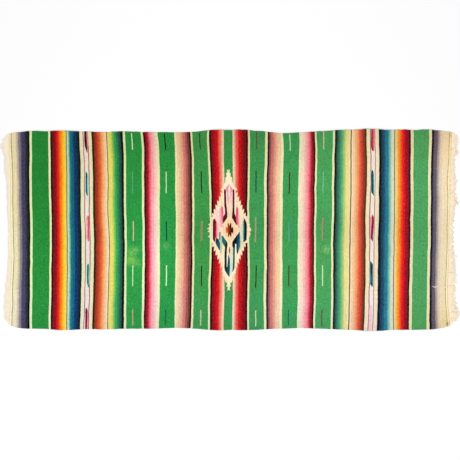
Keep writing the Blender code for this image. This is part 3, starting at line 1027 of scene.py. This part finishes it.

# Broad patches of painted light and shade, and places that fading and handling have left lighter, warmer or
# duller
Tint = namedtuple("Tint", "along across half_along half_across gain")
LIGHT_AND_FADE_TINTS = [
    Tint(-379, -80, 220, 330, (1.05, 1.18, 1.25)),
    Tint(-626, 23, 210, 300, (1.0, 1.09, 1.13)),
    Tint(-900, -120, 240, 380, (1.01, 1.08, 1.03)),
    Tint(40, 440, 420, 130, (1.08, 1.0, 1.0)),
    Tint(630, 420, 240, 170, (1.08, 1.07, 1.02)),
    Tint(960, 400, 220, 170, (1.1, 1.0, 0.9)),
    Tint(950, -210, 160, 260, (0.93, 0.94, 0.94)),
    Tint(960, -420, 220, 140, (1.0, 0.98, 0.88)),
]

# Uneven dyeing and pale lint: the clouds' sizes, the span of the noise that shows, and their shades
DYE_SIZE = (16.0, 22.0)
DYE_SPAN = (0.3, 0.7)
DYE_GAINS = ((0.93, 1.0, 1.07), (1.07, 1.0, 0.93))
LINT_SIZE = (5.0, 6.0)
LINT_SPAN = (0.25, 0.75)
LINT_SHADE = (1.0, 0.85, 0.75)
LINT_DEPTH = 0.022

# Bump of the picks and of the loose fibre on them
FIBRE_SIZE = (0.5, 2.2)
FIBRE_SHARE = 0.8
RELIEF_STRENGTH = 0.55
RELIEF_DEPTH = 0.25

# Creams of the diamond's field in its streaks, and the blotches of the stains
FIELD_SHADES = ((250, 214, 172), (252, 238, 202))
STREAK_SIZE = (7.0, 75.0)
STREAK_SPAN = (0.32, 0.68)
BLOTCH_SIZE = (8.0, 8.0)
BLOTCH_SPAN = (0.3, 0.7)
BLOTCH_STRENGTHS = (0.3, 1.5)

# How far one material's stripes reach past its ends, so that straying picks find their shade,
# and how far the outermost materials reach past the last picks
OVERLAP = 10.0
PAST_ENDS = 20.0


def thread_places():
    """The pick and warp at a point, in millimetres, with the small wandering of hand-beaten wefts."""
    keys = ("pick", "warp", "stepped warp", "flat along", "flat up")
    group, tree, _, out = new_group("thread places", {}, dict.fromkeys(keys, "Float"))
    along, across = (place * (1 / MM) for place in tree.uv("lay"))
    rib = tree.math("FLOOR", across / RIB_PITCH)
    wander = tree.clouds(along, across, WANDER_LENGTH, WANDER_LENGTH) - 0.5
    jitter = tree.noise(tree.vector(along / JITTER_LENGTH, rib * JITTER_STEP), detail=0.0) - 0.5
    pick = along + wander * (4 * WANDER) + jitter * (2 * WEFT_JITTER)
    # Picks pass over one warp and under the next
    pick = pick + tree.math("FLOORED_MODULO", rib, 2.0) * (PICK_PITCH / 2)
    stepped = (rib + 0.5) * RIB_PITCH
    # Lozenges and the diamond keep their own straight outlines, so they are read from places in the flat
    flat_along, flat_up = (place * (1 / MM) for place in tree.split(tree.object_place()))
    flat_along = flat_along + (pick - along) * SHAPE_STRAY
    flat_up = flat_up + (stepped - across)
    for key, value in zip(keys, (pick, across, stepped, flat_along, flat_up)):
        tree.feed(out[key], value)
    return group


def painted_light_below(tree, colour, pick, warp):
    # Painted light: the lower part of the cloth is drawn lighter, most of all on the left
    lower = tree.ranged(warp, *PAINTED_LIGHT_HEIGHTS, kind="SMOOTHSTEP")
    share = lower * tree.ranged(pick, *PAINTED_LIGHT_ENDS, *PAINTED_LIGHT_STRENGTHS)
    missing = tree.mix(1.0, (1.0, 1.0, 1.0), colour, kind="SUBTRACT")
    gain = tree.mix(1.0, missing, colour, kind="MULTIPLY")
    return tree.mix(share, colour, gain, kind="ADD")


def brightness(tree, pick, warp, shown):
    # Streaks of thicker and thinner spinning along the weft, then flecks and cloudy patches
    bright = 1.0
    for length, width, detail, depth in UNEVENNESS:
        bright = (tree.clouds(pick, warp, length, width, detail) - 0.5) * depth + bright
    bright = (bright - 1.0) * shown + 1.0
    # Picks sink between the ribs, and their shadow is part of the colour
    bright = bright + tree.math("COSINE", warp * (2 * np.pi / RIB_PITCH)) * VALLEY_SHADE
    # Painted shade darkens the selvedges and the middle, least of all at the left end
    painted_shade = tree.line(tree.ranged(warp, -HALF_CLOTH, HALF_CLOTH), PAINTED_SHADE_ACROSS)
    return bright * ((painted_shade - 1.0) * tree.ranged(pick, *PAINTED_SHADE_ALONG) + 1.0)


def painted_light_and_tints(tree, colour, pick, warp):
    # The painted bluish shade at the foot, then the broad patches of painted light and shade and of fading
    painted_cool = tree.ranged(warp, *PAINTED_COOL_HEIGHTS, kind="SMOOTHSTEP") * tree.ranged(pick, *PAINTED_COOL_END)
    colour = tree.mix(painted_cool, colour, PAINTED_COOL_GAIN, kind="MULTIPLY")
    for tint in LIGHT_AND_FADE_TINTS:
        share = tree.near(pick, tint.along, tint.half_along) * tree.near(warp, tint.across, tint.half_across)
        colour = tree.mix(share, colour, tint.gain, kind="MULTIPLY")
    return colour


def yarn_wear_and_shade():
    """The unevenness of hand-spun yarn on a colour, and painted light and shade over the whole cloth."""
    inputs = {"colour": "Color", "pick": "Float", "warp": "Float"}
    group, tree, (plain, pick, warp), out = new_group("yarn wear", inputs, {"colour": "Color"})
    # Pale yarn shows its unevenness less
    paleness = tree.out(tree.node("ShaderNodeRGBToBW", inputs={"Color": plain}))
    shown = paleness * -PALE_CALM + 1.0
    # Painted light on the lower part, then a painted bluish shade and broad patches of painted light and
    # shade
    colour = painted_light_and_tints(tree, painted_light_below(tree, plain, pick, warp), pick, warp)
    # Uneven dyeing turns the shade a little warmer here and cooler there
    dye = tree.ranged(tree.clouds(pick, warp, *DYE_SIZE), *DYE_SPAN)
    colour = tree.mix(shown, colour, tree.mix(dye, *DYE_GAINS), kind="MULTIPLY")
    # Pale lint lies on the yarn here and there
    lint = tree.clouds(pick, warp, *LINT_SIZE, detail=1.0)
    lint = tree.ranged(lint, *LINT_SPAN, -LINT_DEPTH, LINT_DEPTH)
    colour = tree.mix(1.0, colour, tree.scaled(LINT_SHADE, lint), kind="ADD")
    tree.feed(out["colour"], tree.scaled(colour, brightness(tree, pick, warp, shown)))
    return group


def pick_relief():
    """Bump of the single picks riding over the ribs, with loose fibre on them."""
    inputs = {"pick": "Float", "warp": "Float"}
    group, tree, (pick, warp), out = new_group("pick relief", inputs, {"normal": "Vector"})
    round_pick = tree.math("COSINE", pick * (2 * np.pi / PICK_PITCH)) * 0.5 + 0.5
    height = tree.clouds(pick, warp, *FIBRE_SIZE) * FIBRE_SHARE + round_pick
    tree.feed(out["normal"], tree.bump(height, RELIEF_STRENGTH, RELIEF_DEPTH))
    return group


def stripe_places():
    """Every stripe from the left end to the right one, as (start, shade)."""
    left, right = [], []
    low = high = MIDDLE
    for stripe in STRIPES:
        if stripe.left_width:
            low -= stripe.left_width
            left.insert(0, (low, stripe.left_shade))
        if stripe.right_width:
            right.append((high, stripe.right_shade))
            high += stripe.right_width
    return left + right


def stripe_colour(tree, pick, low, high):
    # The stripes between two places, as one ramp of clean steps
    places = stripe_places()
    first = max(sum(start <= low for start, _ in places) - 1, 0)
    stops = [(0.0, linear(places[first][1]))]
    for start, shade in places[first + 1 :]:
        if start < high:
            stops.append(((start - low) / (high - low), linear(shade)))
    return tree.steps(tree.ranged(pick, low, high), stops)[0]


def column_marks(tree, colour, pick, warp, column):
    # The woven marks of one column, laid over a colour
    clear = (0, 0, 0, 0)
    stops = [(0.0, clear)]
    for top, bottom, shade in reversed(column.marks):
        stops.append((bottom / (2 * HALF_CLOTH) + 0.5, linear(shade)))
        stops.append((top / (2 * HALF_CLOTH) + 0.5, clear))
    inside = tree.math("COMPARE", pick - column.along, 0.0, column.width / 2)
    shade, shown = tree.steps(tree.ranged(warp, -HALF_CLOTH, HALF_CLOTH), stops)
    return tree.mix(inside * shown, colour, shade)


def shape_mask(tree, along, up, rows):
    # One where a point lies between a shape's left and right edges
    heights, lefts, rights = zip(*rows)
    top, bottom, left, right = heights[0], heights[-1], min(lefts), max(rights)
    share_up = tree.ranged(up, top, bottom, clamp=False)
    share_along = tree.ranged(along, left, right, clamp=False)
    edges = []
    for places in (lefts, rights):
        points = [((top - h) / (top - bottom), (p - left) / (right - left)) for h, p in zip(heights, places)]
        edges.append(tree.line(share_up, points))
    inside = tree.math("COMPARE", share_up, 0.5, 0.5)
    return inside * (share_along > edges[0]) * (share_along < edges[1])


def shapes_over(tree, colour, along, up, shapes):
    # Shapes laid over a colour, one after another
    for shape in shapes:
        shade = linear(shape.shade)
        if shape.low_shade:
            low_at = shape.rows[-1][0] if shape.low_at is None else shape.low_at
            shade = tree.mix(tree.ranged(up, shape.rows[0][0], low_at), shade, linear(shape.low_shade))
        colour = tree.mix(shape_mask(tree, along, up, shape.rows), colour, shade)
    return colour


def serrated_field(tree, along, up):
    """One inside the diamond's serrated border. Its teeth lean towards the diamond's waist."""
    out, high = abs(along), abs(up)
    past = high * SERRATION_RISE + out - SERRATION_WIDTH
    tooth = past * (SERRATION_LEAN / TOOTH_PITCH) + high * (-1 / TOOTH_PITCH)
    reach = tree.math("PINGPONG", tooth, 0.5) * (2 * TOOTH_DEPTH)
    return (past + TOOTH_ROOT < reach) * (out < WAIST_REACH) * (high < TIP_HEIGHT)


def diamond(tree, colour, flat_along, up):
    """The serrated diamond laid over the stripes. Its field's creams change in narrow streaks."""
    along = flat_along - DIAMOND_ALONG
    inside = serrated_field(tree, along, up)
    for rows in FIELD_PARTS.values():
        inside = tree.math("MAXIMUM", inside, shape_mask(tree, along, up, rows))
    streaks = tree.ranged(tree.clouds(along, up, *STREAK_SIZE), *STREAK_SPAN)
    field = tree.mix(streaks, *(linear(shade) for shade in FIELD_SHADES))
    return shapes_over(tree, tree.mix(inside, colour, field), along, up, INNER_SHAPES)


def stain(tree, colour, pick, warp, mark):
    # A soft, blotchy pale place
    x, y = pick - mark.along, warp - mark.across
    distance = tree.math("SQRT", x * x + y * y)
    near = tree.ranged(distance, mark.reach, 0.0, kind="SMOOTHSTEP")
    blotches = tree.ranged(tree.clouds(pick, warp, *BLOTCH_SIZE), *BLOTCH_SPAN, *BLOTCH_STRENGTHS)
    return tree.mix(near * blotches * mark.strength, colour, linear(mark.shade))


def cloth_material(number, low, high, places, wear_and_shade, relief):
    """The weave between two places along the cloth."""
    material, tree, shader = new_material(f"weave_{number:02d}", WOOL)
    node = tree.group(places)
    pick, warp, stepped, flat_along, flat_up = (tree.out(node, k) for k in range(5))
    colour = stripe_colour(tree, pick, low - OVERLAP, high + OVERLAP)
    for column in COLUMNS:
        if low < column.along < high:
            colour = column_marks(tree, colour, pick, stepped, column)
    for strip in STRIPS:
        if low < strip.along < high:
            colour = shapes_over(tree, colour, flat_along - strip.along, flat_up, strip.shapes)
    if low < MIDDLE < high:
        colour = diamond(tree, colour, flat_along, flat_up)
    for mark in STAINS:
        if low - mark.reach < mark.along < high + mark.reach:
            colour = stain(tree, colour, pick, warp, mark)
    tree.feed(shader["Base Color"], tree.out(tree.group(wear_and_shade, colour=colour, pick=pick, warp=warp)))
    tree.feed(shader["Normal"], tree.out(tree.group(relief, pick=pick, warp=warp)))
    return material


def cloth_materials():
    groups = thread_places(), yarn_wear_and_shade(), pick_relief()
    bounds = [FIRST_PICK - PAST_ENDS, *SPLITS, LAST_PICK + PAST_ENDS]
    return [cloth_material(k, low, high, *groups) for k, (low, high) in enumerate(zip(bounds, bounds[1:]))]


# Fringe

COTTON = {"Roughness": 0.92, "Specular IOR Level": 0.1, "Sheen Weight": 0.1}

# Pale and deep shades of the left fringe, of the right one and of its knots, soiled and darkened with painted
# shade
LEFT_COTTON = ((255, 249, 232), (255, 239, 212))
RIGHT_COTTON = ((255, 243, 218), (255, 232, 198))
KNOT_COTTON = ((236, 216, 202), (218, 194, 180))
SOILED_COTTON, ROOT_COTTON = (250, 228, 208), (255, 232, 184)

# Cotton's blotches to the metre and the span of the noise that shows, its ply, and its yellow roots
BLOTCHES, FINE_BLOTCHES = 60.0, 420.0
BLOTCHES_SPAN, FINE_SPAN = (0.35, 0.65), (0.35, 0.75)
PLY_TURNS = 90.0
PLY_STRENGTH = 0.25
PLY_DEPTH = 0.2
ROOT_SHARE = 0.35
ROOT_YELLOW = 0.8
SOILING = 0.25

# A strand's points and sides, and the bundles it lies in
STRAND_POINTS = 11
STRAND_SIDES = 4
STRAND_RADIUS = 1.0
STRAND_FLATNESS = 0.45
STRAND_TAPER = 0.45
BUNDLE_PITCH = 20.0
BUNDLE_FILL = 0.98
STRANDS_PER_BUNDLE = 23

# Heights at which the CAD fringe's reach is read, clear of its two tips
REACH_LEVELS = 90
REACH_GAP = 2.0

# How unevenly bundles and strands are set, as spreads, and how far in the outermost strands begin
BUNDLE_STRAY = 1.2
STRAND_STRAY = 0.4
LEAN = 2.5
EDGE_GAP = 1.5

# Ranges that each bundle's or strand's own share or size is drawn from
BUNDLE_REACH = (0.9, 1.12)
KNOT_OUT = (3.0, 6.0)
STRAND_REACH = (0.72, 1.02)
CURL_WIDTH = (0.6, 3.2)
CURL_TURNS = (3, 11)
FAN_WIDTH = (2, 9)
RADIUS_SHARES = (0.75, 1.25)
FULL_TURN = 6.28

# A bundle is drawn in by a share at its knot, and fans out over at least some length past it
KNOT_GATHER = 0.12
KNOT_LENGTH = 3.0
FAN_LENGTH = 8.0

# Strands turn back by up to a share of their length, from a share of the way out.
# Their roots begin inside the weave and lie higher than their tips.
TURN_BACK = 0.5
TURN_FROM = 0.6
ROOT_IN = 1.0
ROOT_LIFT = 1.2
TIP_DROP = 0.5

# How the bundles lie between two heights of an end: how far they fan out, and how far their tips curl across
Lie = namedtuple("Lie", "side low high fan curl")
LIES = [
    Lie(1, -330, -175, 0.25, -7.0),
    Lie(1, -60, 95, 0.5, 0.0),
    Lie(1, -430, -330, 1.5, 3.0),
    Lie(-1, -30, 190, 0.5, 0.0),
    Lie(-1, 340, 441, 1.3, -4.0),
]

# Small knots at the tips of the right fringe, as places (along, across), and their size
# Their darker cotton is partly soiling and partly painted shade, standing in for the shadowed dots at the
# tips
KNOTS = [
    (1022, 62), (1023, 42), (1022, 11), (1022, -10), (1021, -35), (1021, -54), (1020, -76), (1020, -106),
    (1034, -120), (1029, 133), (1038, 124), (1040, 118), (1031, -310), (1030, -347), (1035, -358),
    (1022, -373), (1034, -379), (1000, -388), (1011, -403),
]
KNOT_REACH = 2.4
KNOT_CLOSING = 0.5
KNOT_ANGLE = 9
KNOT_HEIGHT = 2.2
KNOT_RISE = 0.5

# Loose ends of warp, as places (along, across). The first three lie over the cloth's right end.
LOOSE_ENDS = [
    [(925, -256), (929, -259), (935, -261), (942, -260), (950, -257), (960, -252.5)],
    [(949, -233), (953, -236), (959, -235), (962, -240), (958, -243)],
    [(966, -260), (976, -261), (986, -261), (997, -262.5)],
    [(1039, 127), (1045, 126), (1050, 125)],
]
LOOSE_RADIUS = 1.5
LOOSE_TAPER = 0.6
CLOTH_END = 1000
ON_CLOTH = THICKNESS + RIB_HEIGHT + 0.4
ON_FRINGE = 1.8


def tube_mesh(paths, radii, sides):
    """Flattened tubes along many paths: points, faces, and (share along, turn) at each face corner."""
    count, steps = paths.shape[:2]
    ahead = np.gradient(paths, axis=1)
    ahead /= np.linalg.norm(ahead, axis=2, keepdims=True) + 1e-9
    side = np.cross(ahead, (0.0, 0.0, 1.0))
    side /= np.linalg.norm(side, axis=2, keepdims=True) + 1e-6
    over = np.cross(side, ahead) * STRAND_FLATNESS
    turn = np.linspace(0, 2 * np.pi, sides, endpoint=False)[:, None]
    ring = side[:, :, None] * np.cos(turn) + over[:, :, None] * np.sin(turn)
    points = paths[:, :, None] + ring * radii[:, :, None, None]
    index = np.arange(count * steps * sides).reshape(count, steps, sides)
    nexts = np.roll(index, -1, axis=2)
    quads = np.stack([index[:, :-1], nexts[:, :-1], nexts[:, 1:], index[:, 1:]], axis=-1)
    step = np.broadcast_to(np.linspace(0, 1, steps)[:, None], index.shape)
    low, high = step[:, :-1], step[:, 1:]
    start = np.broadcast_to(np.arange(sides) / sides, low.shape)
    stop = start + 1 / sides
    corners = ((low, start), (low, stop), (high, stop), (high, start))
    uv = np.stack([np.stack(pair, axis=-1) for pair in corners], axis=3).reshape(-1, 2)
    caps = [*index[:, 0, ::-1].tolist(), *index[:, -1].tolist()]
    faces = quads.reshape(-1, 4).tolist() + caps
    return points.reshape(-1, 3), faces, np.concatenate([uv, np.zeros((len(caps) * sides, 2))])


def fringe_reach(mesh, side):
    """The root and tip lines of the fringe's CAD solid, as (heights, roots, tips)."""
    lines = edge_lines(mesh)
    levels = np.concatenate(lines)[:, 1]
    heights = np.linspace(levels.min() + REACH_GAP, levels.max() - REACH_GAP, REACH_LEVELS)
    spans = [side * np.sort(side * crossings(lines, 1, height))[[0, -1]] for height in heights]
    roots, tips = np.array(spans).T
    return heights, roots, tips


def strand_path(rng, side, start, middle, spread, reach, bundle):
    """One strand: out of the last pick, through the bundle's knot, then frayed and curled."""
    knot, lean, fan_out, curl_across = bundle
    shares = np.linspace(0, 1, STRAND_POINTS)
    length = reach * rng.uniform(*STRAND_REACH)
    out = ROOT_IN + shares * length
    gather = np.exp(-(((out - knot) / KNOT_LENGTH) ** 2)) * KNOT_GATHER
    fan = eased((out - knot) / max(reach - knot, FAN_LENGTH))
    width = rng.uniform(*CURL_WIDTH)
    turns = rng.uniform(*CURL_TURNS)
    curl = width * shares * np.sin(shares * turns + rng.uniform(0, FULL_TURN))
    curl = curl * fan_out + curl_across * shares**3
    offset = (start - middle) * (1 - gather)
    offset = offset + fan * (spread * fan_out * rng.uniform(*FAN_WIDTH) + lean) + curl
    back = rng.uniform(0, 1) ** 3 * TURN_BACK * length * eased((shares - TURN_FROM) / (1 - TURN_FROM))
    root = np.interp(start, *outline.end_line[side]) - side * ROOT_IN
    lift = ROOT_LIFT - TIP_DROP * shares + rng.uniform(0.0, 1.0) * np.sin(shares * np.pi)
    radius = STRAND_RADIUS * rng.uniform(*RADIUS_SHARES) * (1 - STRAND_TAPER * shares**3)
    return np.stack([root + side * (out - back), middle + offset, lift], axis=-1), radius


def fringe_paths(side, rng):
    """Warp ends in loose bundles, as paths and radii."""
    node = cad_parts["fringe_right" if side > 0 else "fringe_left"]
    heights, roots, tips = fringe_reach(node.data, side)
    low, high = outline.corner[(side, -1)][1], outline.corner[(side, 1)][1]
    bundles = int((high - low) / BUNDLE_PITCH)
    strands = []
    for number in range(bundles):
        middle = low + (high - low) * (number + 0.5) / bundles + rng.normal(0, BUNDLE_STRAY)
        evenness = rng.uniform(*BUNDLE_REACH)
        lies = [lie for lie in LIES if lie.side == side and lie.low < middle < lie.high]
        fan_out, curl_across = (lies[0].fan, lies[0].curl) if lies else (1.0, 0.0)
        lean = rng.normal(0, LEAN) * fan_out
        bundle = (rng.uniform(*KNOT_OUT), lean, fan_out, curl_across)
        for strand in range(STRANDS_PER_BUNDLE):
            spread = (strand + 0.5) / STRANDS_PER_BUNDLE - 0.5
            start = middle + spread * BUNDLE_PITCH * BUNDLE_FILL + rng.normal(0, STRAND_STRAY)
            start = min(max(start, low + EDGE_GAP), high - EDGE_GAP)
            reach = abs(np.interp(start, heights, tips - roots)) * evenness
            strands.append(strand_path(rng, side, start, middle, spread, reach, bundle))
    return [np.array(part) for part in zip(*strands)]


def knot_paths(rng):
    # Each knot as a small spiral that closes as it rises, lying on the fringe
    paths, shares = [], np.linspace(0, 1, STRAND_POINTS)
    for along, across in KNOTS:
        turn = shares * KNOT_ANGLE + rng.uniform(0, FULL_TURN)
        reach = KNOT_REACH * (1 - KNOT_CLOSING * shares)
        height = KNOT_HEIGHT + KNOT_RISE * shares
        paths.append(np.stack([along + reach * np.cos(turn), across + reach * np.sin(turn), height], axis=-1))
    return np.array(paths), np.full((len(KNOTS), STRAND_POINTS), STRAND_RADIUS)


def loose_paths():
    # The loose ends, evened out to the strands' number of points
    paths, shares = [], np.linspace(0, 1, STRAND_POINTS)
    for line in LOOSE_ENDS:
        x, y = smooth_curve(shares, np.linspace(0, 1, len(line)), np.array(line, float)).T
        paths.append(np.stack([x, y, np.where(x < CLOTH_END, ON_CLOTH, ON_FRINGE)], axis=-1))
    radius = LOOSE_RADIUS * (1 - LOOSE_TAPER * np.abs(2 * shares - 1) ** 3)
    return np.array(paths), np.tile(radius, (len(paths), 1))


def cotton_material(name, shades):
    """Unbleached cotton warp, plied and slightly soiled, and yellower at its roots."""
    material, tree, shader = new_material(name, COTTON)
    place = tree.object_place()
    blotch = tree.noise(place, scale=BLOTCHES, detail=3.0, dimensions="3D")
    fine = tree.noise(place, scale=FINE_BLOTCHES, dimensions="3D")
    pale, deep = (linear(shade) for shade in shades)
    colour = tree.mix(tree.ranged(blotch, *BLOTCHES_SPAN), deep, pale)
    colour = tree.mix(tree.ranged(fine, *FINE_SPAN, 0.0, SOILING), colour, linear(SOILED_COTTON))
    out, turn = tree.uv("strand")
    colour = tree.mix(tree.ranged(out, ROOT_SHARE, 0.0, 0.0, ROOT_YELLOW), colour, linear(ROOT_COTTON))
    ply = tree.math("SINE", out * PLY_TURNS + turn * (4 * np.pi))
    tree.feed(shader["Base Color"], colour)
    tree.feed(shader["Normal"], tree.bump(ply, PLY_STRENGTH, PLY_DEPTH))
    return material


def sharpen_sides(mesh):
    # The upper face of each flat strand is shaded on its own, apart from the lower one
    ends = np.zeros(len(mesh.edges) * 2, dtype=np.int32)
    mesh.edges.foreach_get("vertices", ends)
    ends = np.sort(ends.reshape(-1, 2), axis=1)
    along = (ends[:, 1] - ends[:, 0]) == STRAND_SIDES
    at_side = ends[:, 0] % STRAND_SIDES % 2 == 0
    mesh.edges.foreach_set("use_edge_sharp", along & at_side)


def fringe_piece(name, side, materials, seed):
    rng = np.random.default_rng(seed)
    sets = [fringe_paths(side, rng)]
    if side > 0:
        sets += [knot_paths(rng), loose_paths()]
    paths, radii = (np.concatenate(parts) for parts in zip(*sets))
    points, faces, uv = tube_mesh(paths, radii, STRAND_SIDES)
    # Faces come strand by strand, first all the walls and then all the caps
    walls = (STRAND_POINTS - 1) * STRAND_SIDES
    number = np.arange(len(paths)) - len(sets[0][0])
    knotted = (number >= 0) & (number < len(KNOTS))
    kinds = np.concatenate([np.repeat(knotted, walls), knotted, knotted])
    piece = mesh_piece(name, points, faces, {"strand": uv}, materials, kinds)
    sharpen_sides(piece.data)
    return piece


# Stage: its floor, view and lamps in metres and watts, and its lens and sensor in millimetres

FLOOR = {"Base Color": (1.0, 1.0, 1.0, 1.0), "Roughness": 1.0, "Specular IOR Level": 0.0}
FLOOR_REACH = 8.0
FLOOR_DROP = 0.0004
LENS = 100.0
SENSOR = 36.0
VIEW_WIDTH = 2.102
FAR_LIMIT = 50.0
SKY_STRENGTH = 0.425
Lamp = namedtuple("Lamp", "name place size power")
LAMPS = [
    Lamp("key", (0.0, -3.4, 4.2), (5.0, 2.4), 160),
    Lamp("fill", (0.0, 3.6, 4.6), (5.0, 2.4), 116),
]


def add_floor():
    material = new_material("pale_floor", FLOOR)[0]
    bm = bmesh.new()
    bmesh.ops.create_grid(bm, x_segments=1, y_segments=1, size=FLOOR_REACH)
    mesh = bpy.data.meshes.new("floor")
    bm.to_mesh(mesh)
    bm.free()
    mesh.materials.append(material)
    floor = add_piece("floor", mesh)
    floor.location.z = -FLOOR_DROP


def add_camera():
    camera = bpy.data.cameras.new("camera")
    camera.lens = LENS
    camera.sensor_width = SENSOR
    camera.clip_end = FAR_LIMIT
    viewer = add_piece("camera", camera)
    viewer.location.z = VIEW_WIDTH * LENS / SENSOR + THICKNESS * MM
    bpy.context.scene.camera = viewer


def light_scene():
    world = bpy.data.worlds.new("studio")
    world.use_nodes = True
    sky = world.node_tree.nodes["Background"].inputs
    sky["Color"].default_value = (1, 1, 1, 1)
    sky["Strength"].default_value = SKY_STRENGTH
    bpy.context.scene.world = world
    for given in LAMPS:
        lamp = bpy.data.lights.new(given.name, "AREA")
        lamp.shape = "RECTANGLE"
        lamp.size, lamp.size_y = given.size
        lamp.energy = given.power
        light = add_piece(given.name, lamp)
        light.location = given.place
        light.rotation_euler = (-Vector(given.place)).to_track_quat("-Z", "Y").to_euler()
        light.visible_camera = False
    bpy.context.scene.view_settings.view_transform = "Standard"


add_camera()
light_scene()
add_floor()

cloth = cloth_piece(cloth_materials())
left_cotton = cotton_material("left_cotton", LEFT_COTTON)
right_cotton = cotton_material("right_cotton", RIGHT_COTTON)
knot_cotton = cotton_material("knot_cotton", KNOT_COTTON)
left_fringe = fringe_piece("left_fringe", -1, [left_cotton], 11)
right_fringe = fringe_piece("right_fringe", 1, [right_cotton, knot_cotton], 23)

for piece, node, slot in (
    (cloth, "woven_cloth", "woven_wool"),
    (left_fringe, "fringe_left", "fringe_cotton"),
    (right_fringe, "fringe_right", "fringe_cotton"),
):
    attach(piece, "root")
    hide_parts(node)
